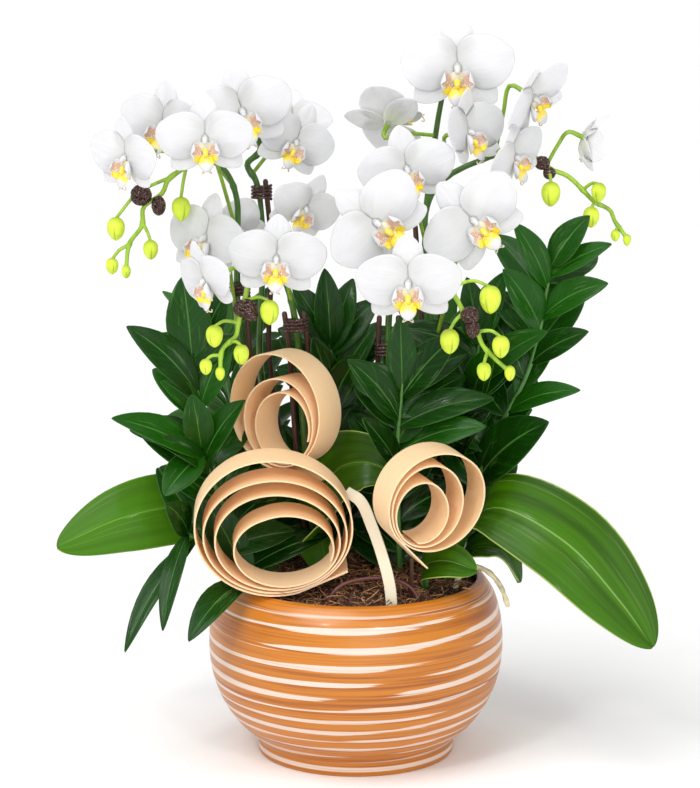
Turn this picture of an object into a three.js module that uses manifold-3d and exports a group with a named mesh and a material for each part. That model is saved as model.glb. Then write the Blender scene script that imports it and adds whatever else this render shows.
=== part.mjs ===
// A potted orchid arrangement: a round-bellied glazed bowl filled with potting mix and a moss cover, five
// arching moth-orchid flower spikes on stakes with white blooms and hanging buds, their broad strap leaves,
// pinnate glossy fronds round them, three coils of wood veneer on the moss, a veneer strap, a bowed wire and
// one aerial root over the rim.
//
// Millimetres, +Z up, the front faces -Y. The origin is the centre of the bowl's flat underside.

import * as THREE from 'three';
import { mergeVertices } from 'three/addons/utils/BufferGeometryUtils.js';
import Module from 'manifold-3d';

const wasm = await Module();
wasm.setup();

// ---------------------------------------------------------------- driving dimensions

const GAP = 0.4; // clearance between touching pieces
const POT = { foot: 69.8, belly: 104.4, mouth: 85.5, height: 127.3, wall: 5.7, floor: 8, facets: 26 };
const MOSS = { bottom: 92, edge: 120, dome: 14, lumps: 2 };
const STEM_FOOT = 97; // every stem stands this high, in a hole through the moss
const BLOOM_SPAN = 80; // petal tip to petal tip of the bloom that the shapes below are drawn for
const VENEER = { width: 25, thick: 1.1, step: 1.6, facets: 15 };
const STAKE_RADIUS = 1.9;

const MATERIALS = {
  glaze: { color: 0xc9782c, roughness: 0.22, metalness: 0 },
  mix: { color: 0x3a2618, roughness: 1, metalness: 0 },
  moss: { color: 0x6b4423, roughness: 1, metalness: 0 },
  petal: { color: 0xf6f5f4, roughness: 0.55, metalness: 0 },
  spike: { color: 0x6f9a25, roughness: 0.5, metalness: 0 },
  strap_leaf: { color: 0x2f7a1c, roughness: 0.3, metalness: 0 },
  frond: { color: 0x114f16, roughness: 0.25, metalness: 0 },
  stake: { color: 0x3b1f14, roughness: 0.6, metalness: 0 },
  veneer: { color: 0xf0c493, roughness: 0.6, metalness: 0 },
  strap: { color: 0xe6dcc2, roughness: 0.7, metalness: 0 },
  wire: { color: 0x4a2a2c, roughness: 0.4, metalness: 0 },
  root: { color: 0xcbbf9c, roughness: 0.8, metalness: 0 },
};

// ---------------------------------------------------------------- solids and meshes

const V = (x, y, z) => new THREE.Vector3(x, y, z);
const at = ([x, y, z]) => V(x, y, z);

// A closed surface as a solid, turned so that its faces point outwards.
function solidOf(positions, triangles) {
  const geometry = new THREE.BufferGeometry();
  geometry.setAttribute('position', new THREE.Float32BufferAttribute(positions.flatMap((p) => [p.x, p.y, p.z]), 3));
  geometry.setIndex(triangles.flat());
  return solidOfGeometry(geometry);
}

function solidOfGeometry(geometry) {
  const bare = new THREE.BufferGeometry().setAttribute('position', geometry.getAttribute('position'));
  bare.setIndex(geometry.index);
  const merged = mergeVertices(bare, 1e-4);
  const corners = merged.getAttribute('position').array;
  const faces = new Uint32Array(merged.index.array);
  const point = (i) => V(corners[3 * i], corners[3 * i + 1], corners[3 * i + 2]);
  let volume = 0;
  for (let i = 0; i < faces.length; i += 3) {
    volume += point(faces[i]).dot(point(faces[i + 1]).cross(point(faces[i + 2])));
  }
  if (volume < 0) {
    for (let i = 0; i < faces.length; i += 3) [faces[i + 1], faces[i + 2]] = [faces[i + 2], faces[i + 1]];
  }
  return new wasm.Manifold(new wasm.Mesh({ numProp: 3, vertProperties: new Float32Array(corners), triVerts: faces }));
}

const joined = (solids) => solids.reduce((whole, next) => whole.add(next));

function geometryOf(solid) {
  const mesh = solid.getMesh();
  const corners = new Float32Array(mesh.numVert * 3);
  for (let i = 0; i < mesh.numVert; i++) {
    corners.set(mesh.vertProperties.subarray(i * mesh.numProp, i * mesh.numProp + 3), i * 3);
  }
  const geometry = new THREE.BufferGeometry();
  geometry.setAttribute('position', new THREE.BufferAttribute(corners, 3));
  geometry.setIndex(new THREE.BufferAttribute(new Uint32Array(mesh.triVerts), 1));
  return geometry;
}

const orchid = new THREE.Group();

function addPiece(name, material, solid) {
  const mesh = new THREE.Mesh(geometryOf(solid), new THREE.MeshStandardMaterial(MATERIALS[material]));
  mesh.name = name;
  orchid.add(mesh);
}

// ---------------------------------------------------------------- shared shapes

// Rings of equal count, closed at both ends by a fan to one point.
function loft(rings, first, last) {
  const sides = rings[0].length;
  const points = [...rings.flat(), first, last];
  const [start, end] = [points.length - 2, points.length - 1];
  const faces = [];
  for (let s = 0; s < sides; s++) {
    const next = (s + 1) % sides;
    faces.push([start, next, s]);
    for (let r = 0; r + 1 < rings.length; r++) {
      const [low, high] = [r * sides, (r + 1) * sides];
      faces.push([low + s, low + next, high + next], [low + s, high + next, high + s]);
    }
    faces.push([end, (rings.length - 1) * sides + s, (rings.length - 1) * sides + next]);
  }
  return solidOf(points, faces);
}

// A round bar along a smooth curve through the points; radius(t) runs from foot to tip.
function bar(points, radius, sides, steps) {
  const curve = new THREE.CatmullRomCurve3(points, false, 'centripetal');
  const frames = curve.computeFrenetFrames(steps, false);
  const rings = [];
  for (let i = 0; i <= steps; i++) {
    const centre = curve.getPointAt(i / steps);
    const ring = [];
    for (let s = 0; s < sides; s++) {
      const turn = (2 * Math.PI * s) / sides;
      const out = frames.normals[i].clone().multiplyScalar(Math.cos(turn));
      out.addScaledVector(frames.binormals[i], Math.sin(turn));
      ring.push(centre.clone().addScaledVector(out, radius(i / steps)));
    }
    rings.push(ring);
  }
  return loft(rings, curve.getPointAt(0), curve.getPointAt(1));
}

const taper = (foot, tip) => (t) => foot + (tip - foot) * t;

// How wide a leaf or petal is along its length: skew moves the widest place, round fills its ends.
const outline = (skew, round) => (u) => Math.sin(Math.PI * u ** skew) ** round;

const LEAFLET = outline(0.86, 0.8);
const STRAP_LEAF = outline(1.22, 0.55);
const PETAL = outline(0.92, 0.5);
const SEPAL = outline(0.95, 0.64);

// A thin blade that is thickest at its rib and meets in one edge all round. place(u, v) gives a point of
// its middle surface, with u along it and v from -1 to 1 across it.
function blade(place, rows, thick, normalAt) {
  const points = [place(0, 0), place(1, 0)];
  const faces = [];
  const ends = (edge, front, back) => ({ edge, front, back });
  const rings = rows.map((u) => {
    const first = points.length;
    const rib = place(u, 0);
    const lift = normalAt(u).multiplyScalar(thick / 2);
    points.push(place(u, -1), place(u, 1), rib.clone().add(lift), rib.clone().sub(lift));
    return ends([first, first + 1], first + 2, first + 3);
  });
  const both = (ring) => [ring.front, ring.back];
  const [first, last] = [rings[0], rings[rings.length - 1]];
  both(first).forEach((rib, side) => {
    const turned = (a, b, c) => faces.push(side ? [a, c, b] : [a, b, c]);
    turned(0, rib, first.edge[0]);
    turned(0, first.edge[1], rib);
    for (let i = 0; i + 1 < rings.length; i++) {
      const [near, far] = [rings[i], rings[i + 1]];
      const [ribNear, ribFar] = [both(near)[side], both(far)[side]];
      turned(near.edge[0], ribNear, ribFar);
      turned(near.edge[0], ribFar, far.edge[0]);
      turned(ribNear, near.edge[1], far.edge[1]);
      turned(ribNear, far.edge[1], ribFar);
    }
    const tipRib = both(last)[side];
    turned(last.edge[0], tipRib, 1);
    turned(tipRib, last.edge[1], 1);
  });
  return solidOf(points, faces);
}

// A leaf from base to tip. Its upper face looks towards up; arch lifts its middle and fold its two edges,
// each as a share of its length or width.
function leaf({ base, tip, up, width, arch, fold, shape, thick, rows }) {
  const along = tip.clone().sub(base);
  const length = along.length();
  along.normalize();
  const out = up.clone().addScaledVector(along, -up.dot(along)).normalize();
  const across = out.clone().cross(along);
  const place = (u, v) => {
    const half = (width * shape(u)) / 2;
    return base.clone().addScaledVector(along, length * u)
      .addScaledVector(out, arch * length * 4 * u * (1 - u) + fold * half * Math.abs(v))
      .addScaledVector(across, half * v);
  };
  return blade(place, rows, thick, () => out.clone());
}

const egg = (centre, radii, axis = V(0, 0, 1), around = 5, along = 4) => {
  const ball = new THREE.SphereGeometry(1, around, along).scale(radii[0], radii[2], radii[1]);
  ball.applyQuaternion(new THREE.Quaternion().setFromUnitVectors(V(0, 1, 0), axis.clone().normalize()));
  return solidOfGeometry(ball.translate(centre.x, centre.y, centre.z));
};

// ---------------------------------------------------------------- bowl and filling

const POT_OUTSIDE = [
  [68.3, 0], [POT.foot, 1.5], [POT.foot, 9], [74.2, 14.5], [85.2, 25], [95.8, 41], [102.4, 60], [POT.belly, 79],
  [103, 98], [98.6, 114], [93, 123], [89.7, 126.5], [87, POT.height],
];
const POT_INSIDE = [
  [POT.mouth, 125.5], [88.5, 119], [95.4, 106], [POT.belly - POT.wall, 84], [95.8, 58], [85.8, 37],
  [68, 17], [52, 9], [0, POT.floor],
];

const turned = (profile, facets) => {
  const corners = profile.map(([r, z]) => new THREE.Vector2(r, z));
  return solidOfGeometry(new THREE.LatheGeometry(corners, facets).rotateX(Math.PI / 2));
};

// The inside radius of the bowl's wall at a height.
function insideRadius(z) {
  const wall = [...POT_INSIDE].reverse();
  const above = wall.findIndex(([, height]) => height >= z);
  const [[r0, z0], [r1, z1]] = [wall[above - 1], wall[above]];
  return r0 + ((r1 - r0) * (z - z0)) / (z1 - z0);
}

const mossHeight = (x, y) => {
  const share = Math.hypot(x, y) / POT.mouth;
  const lumps = Math.sin(x * 0.21 + 1.3) * Math.cos(y * 0.17) + 0.6 * Math.sin(x * 0.11 - y * 0.24);
  return MOSS.edge + MOSS.dome * (1 - share * share) + MOSS.lumps * lumps * (1 - share ** 4);
};

function mossCover() {
  const ring = (r, height) => Array.from({ length: POT.facets }, (_, s) => {
    const turn = (2 * Math.PI * s) / POT.facets;
    const [x, y] = [r * Math.cos(turn), r * Math.sin(turn)];
    return V(x, y, height ?? mossHeight(x, y));
  });
  const wall = (z) => ring((insideRadius(z) - GAP) * Math.cos(Math.PI / POT.facets), z);
  const top = [28, 56, POT.mouth - 1.5].map((r) => ring(r));
  return loft([...top, wall(114), wall(104), wall(MOSS.bottom)], V(0, 0, mossHeight(0, 0)), V(0, 0, MOSS.bottom));
}

function pottingMix() {
  const top = MOSS.bottom - GAP;
  const heights = [POT.floor + 1.5, 17, 37, 58, 84, top];
  const side = heights.map((z) => [(insideRadius(z) - GAP) * Math.cos(Math.PI / POT.facets), z]);
  return turned([[0, heights[0]], ...side, [0, top]], POT.facets);
}

// ---------------------------------------------------------------- blooms

// Where each bloom stands, which way it looks (yaw towards +X, pitch upwards, roll clockwise from the
// front), its span and how far its tepals' tips stand forward, grouped by the spike that bears it and where
// along that spike.
const BLOOMS = [
  // name, spike, share along it, centre, yaw, pitch, roll, span, cup
  ['bloom_left_outer', 'spike_left_arch', 0.78, [-154, -50, 430], -40, -6, 3, 62, 4],
  ['bloom_left_upper', 'spike_left_arch', 0.7, [-131, -24, 450], -25, -2, 8, 66, 2],
  ['bloom_left_crown', 'spike_left_arch', 0.62, [-101, -60, 444], 0, -5, -3, 67, 0],
  ['bloom_left_low', 'spike_left_arch', 0.45, [-102, -24, 371], -38, 10, 10, 70, 0],
  ['bloom_left_back', 'spike_left_tall', 0.99, [-78, -13, 457], 8, 2, -14, 73, 0],
  ['bloom_left_side', 'spike_left_tall', 0.93, [-45, 28, 448], 10, 45, 10, 58, 0],
  ['bloom_left_inner', 'spike_left_tall', 0.88, [-42, 4, 435], 18, -6, 24, 60, 0],
  ['bloom_left_shade', 'spike_left_tall', 0.68, [-88, 19, 370], 4, 2, -46, 54, 0],
  ['bloom_left_turned', 'spike_left_tall', 0.76, [-35, -26, 393], 24, -18, 26, 56, 0],
  ['bloom_front_left', 'spike_front_left', 0.62, [-53, -88, 367], 0, -5, 3, 67, 0],
  ['bloom_front_profile', 'spike_front_left', 0.76, [-99, -98, 354], -52, -14, -12, 60, 0],
  ['bloom_centre', 'spike_centre', 0.58, [13, -88, 391], 6, 0, -52, 76, 0],
  ['bloom_front_low', 'spike_centre', 0.7, [34, -122, 356], -4, -8, 0, 72, 0],
  ['bloom_top', 'spike_right', 0.0, [69, -8, 487], 0, -4, 0, 80, 0],
  ['bloom_centre_upper', 'spike_right', 0.0, [22, 14, 447], 165, 42, 84, 70, 2],
  ['bloom_centre_back', 'spike_right', 0.56, [34, -50, 422], 4, 0, -12, 67, 0],
  ['bloom_right_front', 'spike_right', 0.4, [78, -70, 390], 6, -2, -42, 75, 0],
  ['bloom_right_mid', 'spike_right', 0.67, [75, -26, 444], 50, 12, -4, 65, 11],
  ['bloom_right_small', 'spike_right', 0.8, [107, -29, 428], 50, -10, -25, 58, 4],
  ['bloom_right_upper', 'spike_right', 0.75, [119, -22, 468], 52, -20, -38, 66, 8],
  ['bloom_right_opening', 'spike_right', 0.835, [157, -6, 438], 104, -20, -20, 48, 18],
];

// The three directions of a turned bloom: its right, its top and the way it looks.
function facing(yaw, pitch, roll) {
  const [a, p, r] = [yaw, pitch, roll].map(THREE.MathUtils.degToRad);
  const look = V(Math.sin(a) * Math.cos(p), -Math.cos(a) * Math.cos(p), Math.sin(p));
  const level = V(Math.cos(a), Math.sin(a), 0);
  const upright = look.clone().cross(level);
  return {
    right: level.clone().multiplyScalar(Math.cos(r)).addScaledVector(upright, -Math.sin(r)),
    top: upright.clone().multiplyScalar(Math.cos(r)).addScaledVector(level, Math.sin(r)),
    look,
  };
}

// Each tepal points at an angle from the bloom's top. raise is how far in front its base stands, bow how far
// its middle stands forward and curl how far its tip does.
const TEPALS = [
  { turn: 0, length: 36.5, width: 23.5, raise: -1.5, bow: 2, curl: 2, shape: SEPAL, rows: [0.3, 0.76] },
  { turn: 136, length: 36.5, width: 23.5, raise: -2.5, bow: 2, curl: 1, shape: SEPAL, rows: [0.3, 0.76] },
  { turn: -136, length: 36.5, width: 23.5, raise: -2.5, bow: 2, curl: 1, shape: SEPAL, rows: [0.3, 0.76] },
  { turn: 77, length: 40, width: 38, raise: 2.4, bow: 2.5, curl: -3, shape: PETAL, rows: [0.18, 0.5, 0.86] },
  { turn: -77, length: 40, width: 38, raise: 2.4, bow: 2.5, curl: -3, shape: PETAL, rows: [0.18, 0.5, 0.86] },
];
const TEPAL_THICK = 1.5;
const HUB = { radii: [4.4, 4.8, 6], forward: 1.4 };
const BLOOM_BACK = HUB.radii[2] - HUB.forward;

function bloom(centre, yaw, pitch, roll, span, cup) {
  const { right, top, look } = facing(yaw, pitch, roll);
  const scale = span / BLOOM_SPAN;
  const world = (x, y, z) => centre.clone().addScaledVector(right, x * scale)
    .addScaledVector(top, y * scale).addScaledVector(look, z * scale);
  const tepals = TEPALS.map(({ turn, length, width, raise, bow, curl, shape, rows }) => {
    const angle = THREE.MathUtils.degToRad(turn);
    const [ax, ay] = [Math.sin(angle), Math.cos(angle)];
    const place = (u, v) => {
      const half = (width * shape(u) * v) / 2;
      const depth = raise + bow * Math.sin(Math.PI * u) + (curl + cup) * u * u;
      return world(ax * length * u + ay * half, ay * length * u - ax * half, depth);
    };
    return blade(place, rows, TEPAL_THICK * scale, () => look.clone());
  });
  const lobe = (base, tip, up, width, rows) => leaf({
    base: world(...base), tip: world(...tip), up: world(...up).sub(centre), width: width * scale,
    arch: -0.1, fold: 0, shape: outline(1.1, 0.6), thick: 1.3 * scale, rows,
  });
  const lip = [
    lobe([-0.6, -1.5, 4.3], [-7.5, -5.5, 11], [-1, 0.5, 0], 9, [0.6]),
    lobe([0.6, -1.5, 4.3], [7.5, -5.5, 11], [1, 0.5, 0], 9, [0.6]),
    lobe([0, -1.5, 4.3], [0, -15.5, 9], [0, 0.4, 1], 11, [0.4, 0.85]),
  ];
  const hub = egg(world(0, 0, HUB.forward), HUB.radii.map((r) => r * scale), look, 4, 2);
  return joined([hub, ...tepals, ...lip]);
}

// ---------------------------------------------------------------- flower spikes, buds, stakes and ties

// Each spike is a list of points from its foot in the moss to its last bud. A bud has its place along the
// spike, its centre and its length.
const SPIKES = {
  spike_left_arch: {
    path: [[-48, 24, STEM_FOOT], [-48, 24, 120], [-49, 24, 140], [-54, 22, 168], [-68, 18, 220], [-82, 12, 294], [-83, 10, 358], [-83, 4, 396],
      [-92, -4, 417], [-108, -8, 424], [-121, -12, 416], [-129, -14, 410], [-133, -15, 401], [-146, -16, 391],
      [-147, -16, 379], [-156, -16, 366], [-158.5, -17.5, 348]],
    buds: [
      [0.8, [-120, -20, 391], 16], [0.83, [-165, -18, 377], 15.5], [0.92, [-141, -22, 363], 13],
      [0.96, [-168, -18, 351], 11], [1, [-158.5, -17.5, 347], 9],
    ],
  },
  spike_left_tall: {
    path: [[-38, 46, STEM_FOOT], [-38, 46, 120], [-39, 46, 140], [-45, 44, 166], [-57, 40, 208], [-68, 34, 270], [-66, 30, 340], [-66, 28, 378],
      [-70, 27, 404], [-76, 26, 416], [-67, 24, 426], [-73, 20, 446]],
    buds: [],
  },
  spike_front_left: {
    path: [[-28, 4, STEM_FOOT], [-28, 4, 120], [-28, 4, 140], [-33, 2, 190], [-37, 0, 240], [-40, -3, 291], [-46, -20, 332],
      [-54, -38, 352], [-64, -56, 358], [-71, -68, 350], [-75, -75, 336], [-79, -76, 322], [-81, -76, 312],
      [-90, -77, 303], [-91.5, -78.5, 288]],
    buds: [
      [0.86, [-58, -82, 329.5], 16], [0.9, [-95, -80, 313], 14.5], [0.94, [-77, -83, 301], 13],
      [0.97, [-101, -80, 292], 10.5], [1, [-91.5, -78.5, 287], 9],
    ],
  },
  spike_centre: {
    path: [[12, 8, STEM_FOOT], [12, 8, 120], [12.5, 7, 142], [16, 3, 182], [20, -5, 226], [22, -10, 291], [24, -20, 326],
      [32, -40, 346], [46, -66, 354], [59, -84, 349], [67, -90, 339], [73, -91, 328], [80, -92, 319],
      [84, -92, 309], [92, -92, 300], [102, -92.5, 291]],
    buds: [
      [0.82, [89, -93, 340], 18], [0.87, [62, -97, 312.5], 16], [0.91, [96, -98, 309], 14.5],
      [0.95, [85, -97, 292], 12], [1, [102.5, -92.5, 290], 10],
    ],
  },
  spike_right: {
    path: [[46, 26, STEM_FOOT], [46, 26, 120], [47, 25, 142], [52, 20, 190], [58, 14, 243], [53, 15, 300], [50, 17, 345],
      [49, 18, 385], [58, 16, 404], [74, 13, 415], [90, 9, 422], [104, 5, 428], [118, 2, 428], [131, 0, 417],
      [146, 0, 411], [157, 0, 401], [165, 0, 393], [176, 0, 387], [179, 0, 380], [188, 0, 367.5]],
    buds: [
      [0.84, [134, -10, 400], 16.5], [0.9, [167, -9, 401], 13], [0.93, [162, -10, 384], 14],
      [0.98, [179.5, -3, 370], 8], [1, [188, 0, 366.5], 8],
    ],
    branch: [[49, 18, 385], [53, 17, 420], [57, 14, 450], [61, 12, 472]],
  },
};
const SPIKE_RADIUS = { foot: 3.5, tip: 1.4 };
const PEDICEL_RADIUS = 1.3;

const curveOf = (points) => new THREE.CatmullRomCurve3(points.map(at), false, 'centripetal');

// A flower stalk that leaves the spike and comes into the back of its bloom.
function pedicel(start, [, , , centre, yaw, pitch, roll, span]) {
  const { look } = facing(yaw, pitch, roll);
  const back = at(centre).addScaledVector(look, (-BLOOM_BACK * span) / BLOOM_SPAN - 0.5);
  const reach = Math.min(16, start.distanceTo(back) / 3);
  const bend = back.clone().addScaledVector(look, -reach);
  const middle = start.clone().lerp(bend, 0.55).add(V(0, 0, 2));
  return bar([start, middle, bend, back], () => PEDICEL_RADIUS, 4, 3);
}

function bud(start, centre, length) {
  const outwards = centre.clone().sub(start).setZ(0);
  const crown = centre.clone().add(V(0, 0, length / 2 - 1));
  const over = start.clone().lerp(crown, 0.6).add(V(0, 0, outwards.length() * 0.16));
  const stalk = bar([start, over, crown], taper(PEDICEL_RADIUS, 1.1), 4, 2);
  return stalk.add(egg(centre, [length * 0.4, length * 0.4, length / 2], V(0, 0, 1), 5, 3));
}

function flowerSpike(name) {
  const { path, buds, branch } = SPIKES[name];
  const curve = curveOf(path);
  const pieces = [bar(path.map(at), taper(SPIKE_RADIUS.foot, SPIKE_RADIUS.tip), 5, Math.round(1.4 * path.length))];
  const side = branch ? curveOf(branch) : curve;
  if (branch) pieces.push(bar(branch.map(at), taper(2.4, 1.8), 5, 6));
  for (const flower of BLOOMS.filter((b) => b[1] === name)) {
    const start = flower[2] > 0 ? curve.getPointAt(flower[2]) : side.getPointAt(flower[3][0] > 40 ? 1 : 0.6);
    pieces.push(pedicel(start, flower));
  }
  for (const [share, centre, length] of buds) {
    pieces.push(share < 1 ? bud(curve.getPointAt(share), at(centre), length)
      : egg(at(centre), [length * 0.36, length * 0.36, length / 2], V(0, 0, 1), 5, 3));
  }
  return joined(pieces);
}

// ---------------------------------------------------------------- stakes, ties and wire knots

// Thin sticks that follow a spike up to a height on one or both sides of it, with wire loops that hold the
// spike to them.
const STAKES = {
  stake_left_arch: { spike: 'spike_left_arch', sides: [1], top: 352, ties: [330] },
  stake_left_tall: { spike: 'spike_left_tall', sides: [1], top: 404, ties: [396] },
  stakes_front_left: { spike: 'spike_front_left', sides: [-1, 1], top: 316, ties: [306] },
  stakes_centre: { spike: 'spike_centre', sides: [-1, 1], top: 314, ties: [291] },
  stakes_right: { spike: 'spike_right', sides: [-1, 1], top: 372, ties: [330] },
};
const STAKE_OFFSET = 6.6;

function ring(centre, axis, radius, tube, across = 1) {
  const loop = new THREE.TorusGeometry(radius, tube, 4, 7).scale(1, across, 1);
  loop.applyQuaternion(new THREE.Quaternion().setFromUnitVectors(V(0, 0, 1), axis));
  return solidOfGeometry(loop.translate(centre.x, centre.y, centre.z));
}

// The point of a rising curve at a height.
function pointAtHeight(curve, height) {
  let share = 0;
  while (share < 0.99 && curve.getPointAt(share).z < height) share += 0.002;
  return curve.getPointAt(share);
}

function stakes({ spike, sides, top, ties }) {
  const curve = curveOf(SPIKES[spike].path);
  const sticks = sides.map((side) => {
    const heights = [120, 138, 165, 200, 240, 290, 350].filter((z) => z < top - 8);
    const foot = at(SPIKES[spike].path[0]);
    const points = [foot, ...[...heights, top].map((z) => pointAtHeight(curve, z))];
    return bar(points.map((p) => p.add(V(side * STAKE_OFFSET, 0, 0))), () => STAKE_RADIUS, 4, 6);
  });
  const loops = ties.map((z) => {
    const single = sides.length === 1;
    const centre = pointAtHeight(curve, z).add(V(single ? sides[0] * 2 : 0, 0, 0));
    return ring(centre, V(0, 0, 1), single ? 6.4 : 7.6, 1.4, single ? 0.9 : 0.75);
  });
  return joined([...sticks, ...loops]);
}

// Balls of dark wire wound round a spike.
const KNOTS = {
  wire_knot_left: ['spike_left_arch', 0.874],
  wire_knot_front_left: ['spike_front_left', 0.872],
  wire_knot_centre: ['spike_centre', 0.888],
};

function knot([spike, share]) {
  const curve = curveOf(SPIKES[spike].path);
  return ring(curve.getPointAt(share), curve.getTangentAt(share), 4.7, 2.1);
}

// ---------------------------------------------------------------- strap leaves

// A leaf along a curved spine. across is the way its width lies.
function strapLeaf({ spine, across, width, fold = 0.16, rows = [0.22, 0.42, 0.62, 0.8, 0.94] }) {
  const curve = curveOf(spine);
  const frame = (u) => {
    const along = curve.getTangentAt(u);
    const side = at(across).addScaledVector(along, -along.dot(at(across))).normalize();
    return { side, out: along.clone().cross(side) };
  };
  const place = (u, v) => {
    const { side, out } = frame(u);
    const half = (width * STRAP_LEAF(u)) / 2;
    return curve.getPointAt(u).addScaledVector(side, half * v).addScaledVector(out, fold * half * Math.abs(v));
  };
  return blade(place, rows, 2.2, (u) => frame(u).out);
}

const STRAP_LEAVES = {
  leaf_left: {
    foot: [-58, -4], across: [0, 0.45, 0.9], width: 52,
    spine: [[-58, -4, 132], [-74, -6, 162], [-113, -16, 180], [-160, -34, 177], [-207, -45, 158]],
  },
  leaf_left_back: {
    foot: [-54, 9], across: [0.2, 0.6, 0.7], width: 36,
    spine: [[-54, 9, 132], [-74, 12, 172], [-100, 17, 196], [-132, 18, 198]],
  },
  leaf_right: {
    foot: [64, -12], across: [0.7, 0.25, 0.7], width: 60,
    spine: [[64, -12, 132], [74, -20, 162], [96, -36, 184], [143, -60, 166], [180, -74, 128], [203, -82, 97]],
  },
  leaf_centre: {
    foot: [-20, -24], across: [0, 0.32, 1], width: 44,
    spine: [[-20, -24, 132], [-25, -18, 160], [-22, -14, 190], [-11, -20, 209], [7, -29, 215], [26, -31, 208]],
  },
  leaf_right_low: {
    foot: [48, -36], across: [0.1, 0.6, 0.75], width: 28,
    spine: [[48, -36, 128], [49, -50, 147], [63, -60, 152], [83, -64, 146]],
  },
  leaf_right_round: {
    foot: [72, -9], across: [0.1, 0.9, 0.3], width: 34,
    spine: [[72, -9, 130], [84, -17, 150], [102, -26, 150], [114, -36, 131]],
  },
  leaf_back: {
    foot: [6, 48], across: [1, 0.1, 0], width: 50,
    spine: [[6, 48, 132], [2, 62, 178], [0, 92, 204], [0, 132, 196], [2, 164, 158]],
  },
};

const foot = ([x, y], top, radius) => bar([V(x, y, STEM_FOOT), V(x, y, top - 6), V(x, y, top + 6)], () => radius, 5, 2);

// ---------------------------------------------------------------- pinnate fronds

// A frond is a stalk and its leaflets: each has its tip, its width and the height on the stalk it grows from.
// up is the way the upper faces look.
const FRONDS = {
  frond_left: {
    up: [0, -0.8, 0.6],
    stalk: [[-64, -18, STEM_FOOT], [-64, -18, 132], [-80, -21, 162], [-98, -26, 205], [-107, -29, 250], [-113, -32, 289]],
    leaflets: [[-156, -54, 315, 22, 260], [-118, -46, 348, 28, 286], [-89, -36, 336, 22, 282], [-134, -48, 276, 15, 246],
      [-86, -22, 302, 20, 252], [-128, -4, 236, 20, 200], [-124, 0, 320, 20, 268]],
  },
  frond_left_low: {
    up: [0, -0.7, 0.7],
    stalk: [[-70, -31, STEM_FOOT], [-70, -31, 132], [-84, -33, 165], [-98, -35, 200], [-107, -38, 226]],
    leaflets: [[-166, -68, 254, 24, 220], [-131, -68, 200, 21, 222], [-76, -50, 263, 19, 218], [-112, -54, 268, 19, 224],
      [-140, -62, 238, 16, 206]],
  },
  frond_left_drooping: {
    up: [-0.2, -0.7, 0.7],
    stalk: [[-70, -42, STEM_FOOT], [-70, -42, 116], [-71, -41, 130], [-86, -38, 146], [-103, -38, 159], [-119, -44, 169]],
    leaflets: [[-157, -98, 98, 14, 163], [-131, -98, 113, 14, 167], [-114, -92, 104, 20, 134], [-130, -66, 194, 20, 167],
      [-106, -42, 192, 24, 140]],
  },
  frond_centre: {
    up: [0, -0.8, 0.6],
    stalk: [[31, -14, STEM_FOOT], [31, -14, 132], [29, -26, 188], [29, -34, 233], [32, -38, 272]],
    leaflets: [[-6, -60, 293, 21, 245], [69, -52, 309, 24, 262], [89, -56, 246, 22, 222], [56, -30, 266, 20, 228],
      [95, -44, 263, 22, 240], [30, -44, 320, 19, 266], [4, -58, 252, 18, 212]],
  },
  frond_right: {
    up: [0, -0.8, 0.6],
    stalk: [[74, 8, STEM_FOOT], [74, 8, 132], [80, 2, 168], [89, -4, 205], [101, -9, 237], [117, -14, 270], [125, -18, 296],
      [131, -22, 333], [134, -24, 352]],
    leaflets: [[107, -40, 384, 17, 336], [159, -34, 388, 19, 350], [174, -38, 369, 15, 344], [100, -40, 352, 22, 306],
      [172, -38, 342, 20, 314], [159, -40, 309, 18, 282], [154, -40, 268, 16, 246], [133, -36, 245, 34, 197]],
  },
  frond_right_inner: {
    up: [0, -0.8, 0.6],
    stalk: [[62, 34, STEM_FOOT], [62, 34, 132], [66, 24, 165], [75, 12, 209], [83, 4, 253], [86, 2, 296]],
    leaflets: [[130, -52, 311, 21, 262], [103, 0, 344, 18, 292], [76, -24, 344, 20, 290], [94, -50, 300, 20, 246],
      [92, -44, 254, 22, 206], [124, 8, 300, 19, 250], [60, -6, 300, 19, 250], [92, 30, 330, 18, 280]],
  },
  frond_middle: {
    up: [0, -0.8, 0.6],
    stalk: [[-18, 20, STEM_FOOT], [-18, 20, 132], [-20, 16, 170], [-18, 14, 223], [-16, 14, 273], [-18, 16, 290]],
    leaflets: [[-30, -8, 300, 19, 246], [3, -22, 290, 21, 240], [-2, 22, 336, 19, 284], [-44, 10, 334, 20, 284],
      [-54, 10, 296, 18, 250], [16, 16, 306, 19, 258], [-22, 4, 346, 19, 286], [8, 12, 262, 19, 212],
      [-52, 16, 232, 21, 176], [14, 14, 212, 20, 158]],
  },
  frond_back_left: {
    up: [0, 0.7, 0.7],
    stalk: [[-58, 42, STEM_FOOT], [-58, 42, 132], [-74, 50, 180], [-88, 56, 232], [-96, 60, 276]],
    leaflets: [[-104, 68, 334, 22, 274], [-140, 78, 318, 20, 262], [-62, 74, 322, 20, 258], [-138, 84, 268, 20, 216],
      [-50, 82, 276, 20, 220], [-48, 84, 222, 20, 172], [-124, 84, 216, 20, 172], [-30, 66, 196, 20, 148]],
  },
  frond_back_right: {
    up: [0, 0.7, 0.7],
    stalk: [[42, 54, STEM_FOOT], [42, 54, 132], [46, 64, 180], [54, 70, 232], [60, 72, 276]],
    leaflets: [[66, 80, 336, 22, 274], [102, 84, 318, 20, 262], [22, 84, 322, 20, 258], [106, 90, 268, 20, 216],
      [12, 88, 272, 20, 220], [98, 96, 218, 20, 170], [4, 94, 226, 20, 176]],
  },
};
const LEAFLET_THICK = 1.1;

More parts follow.
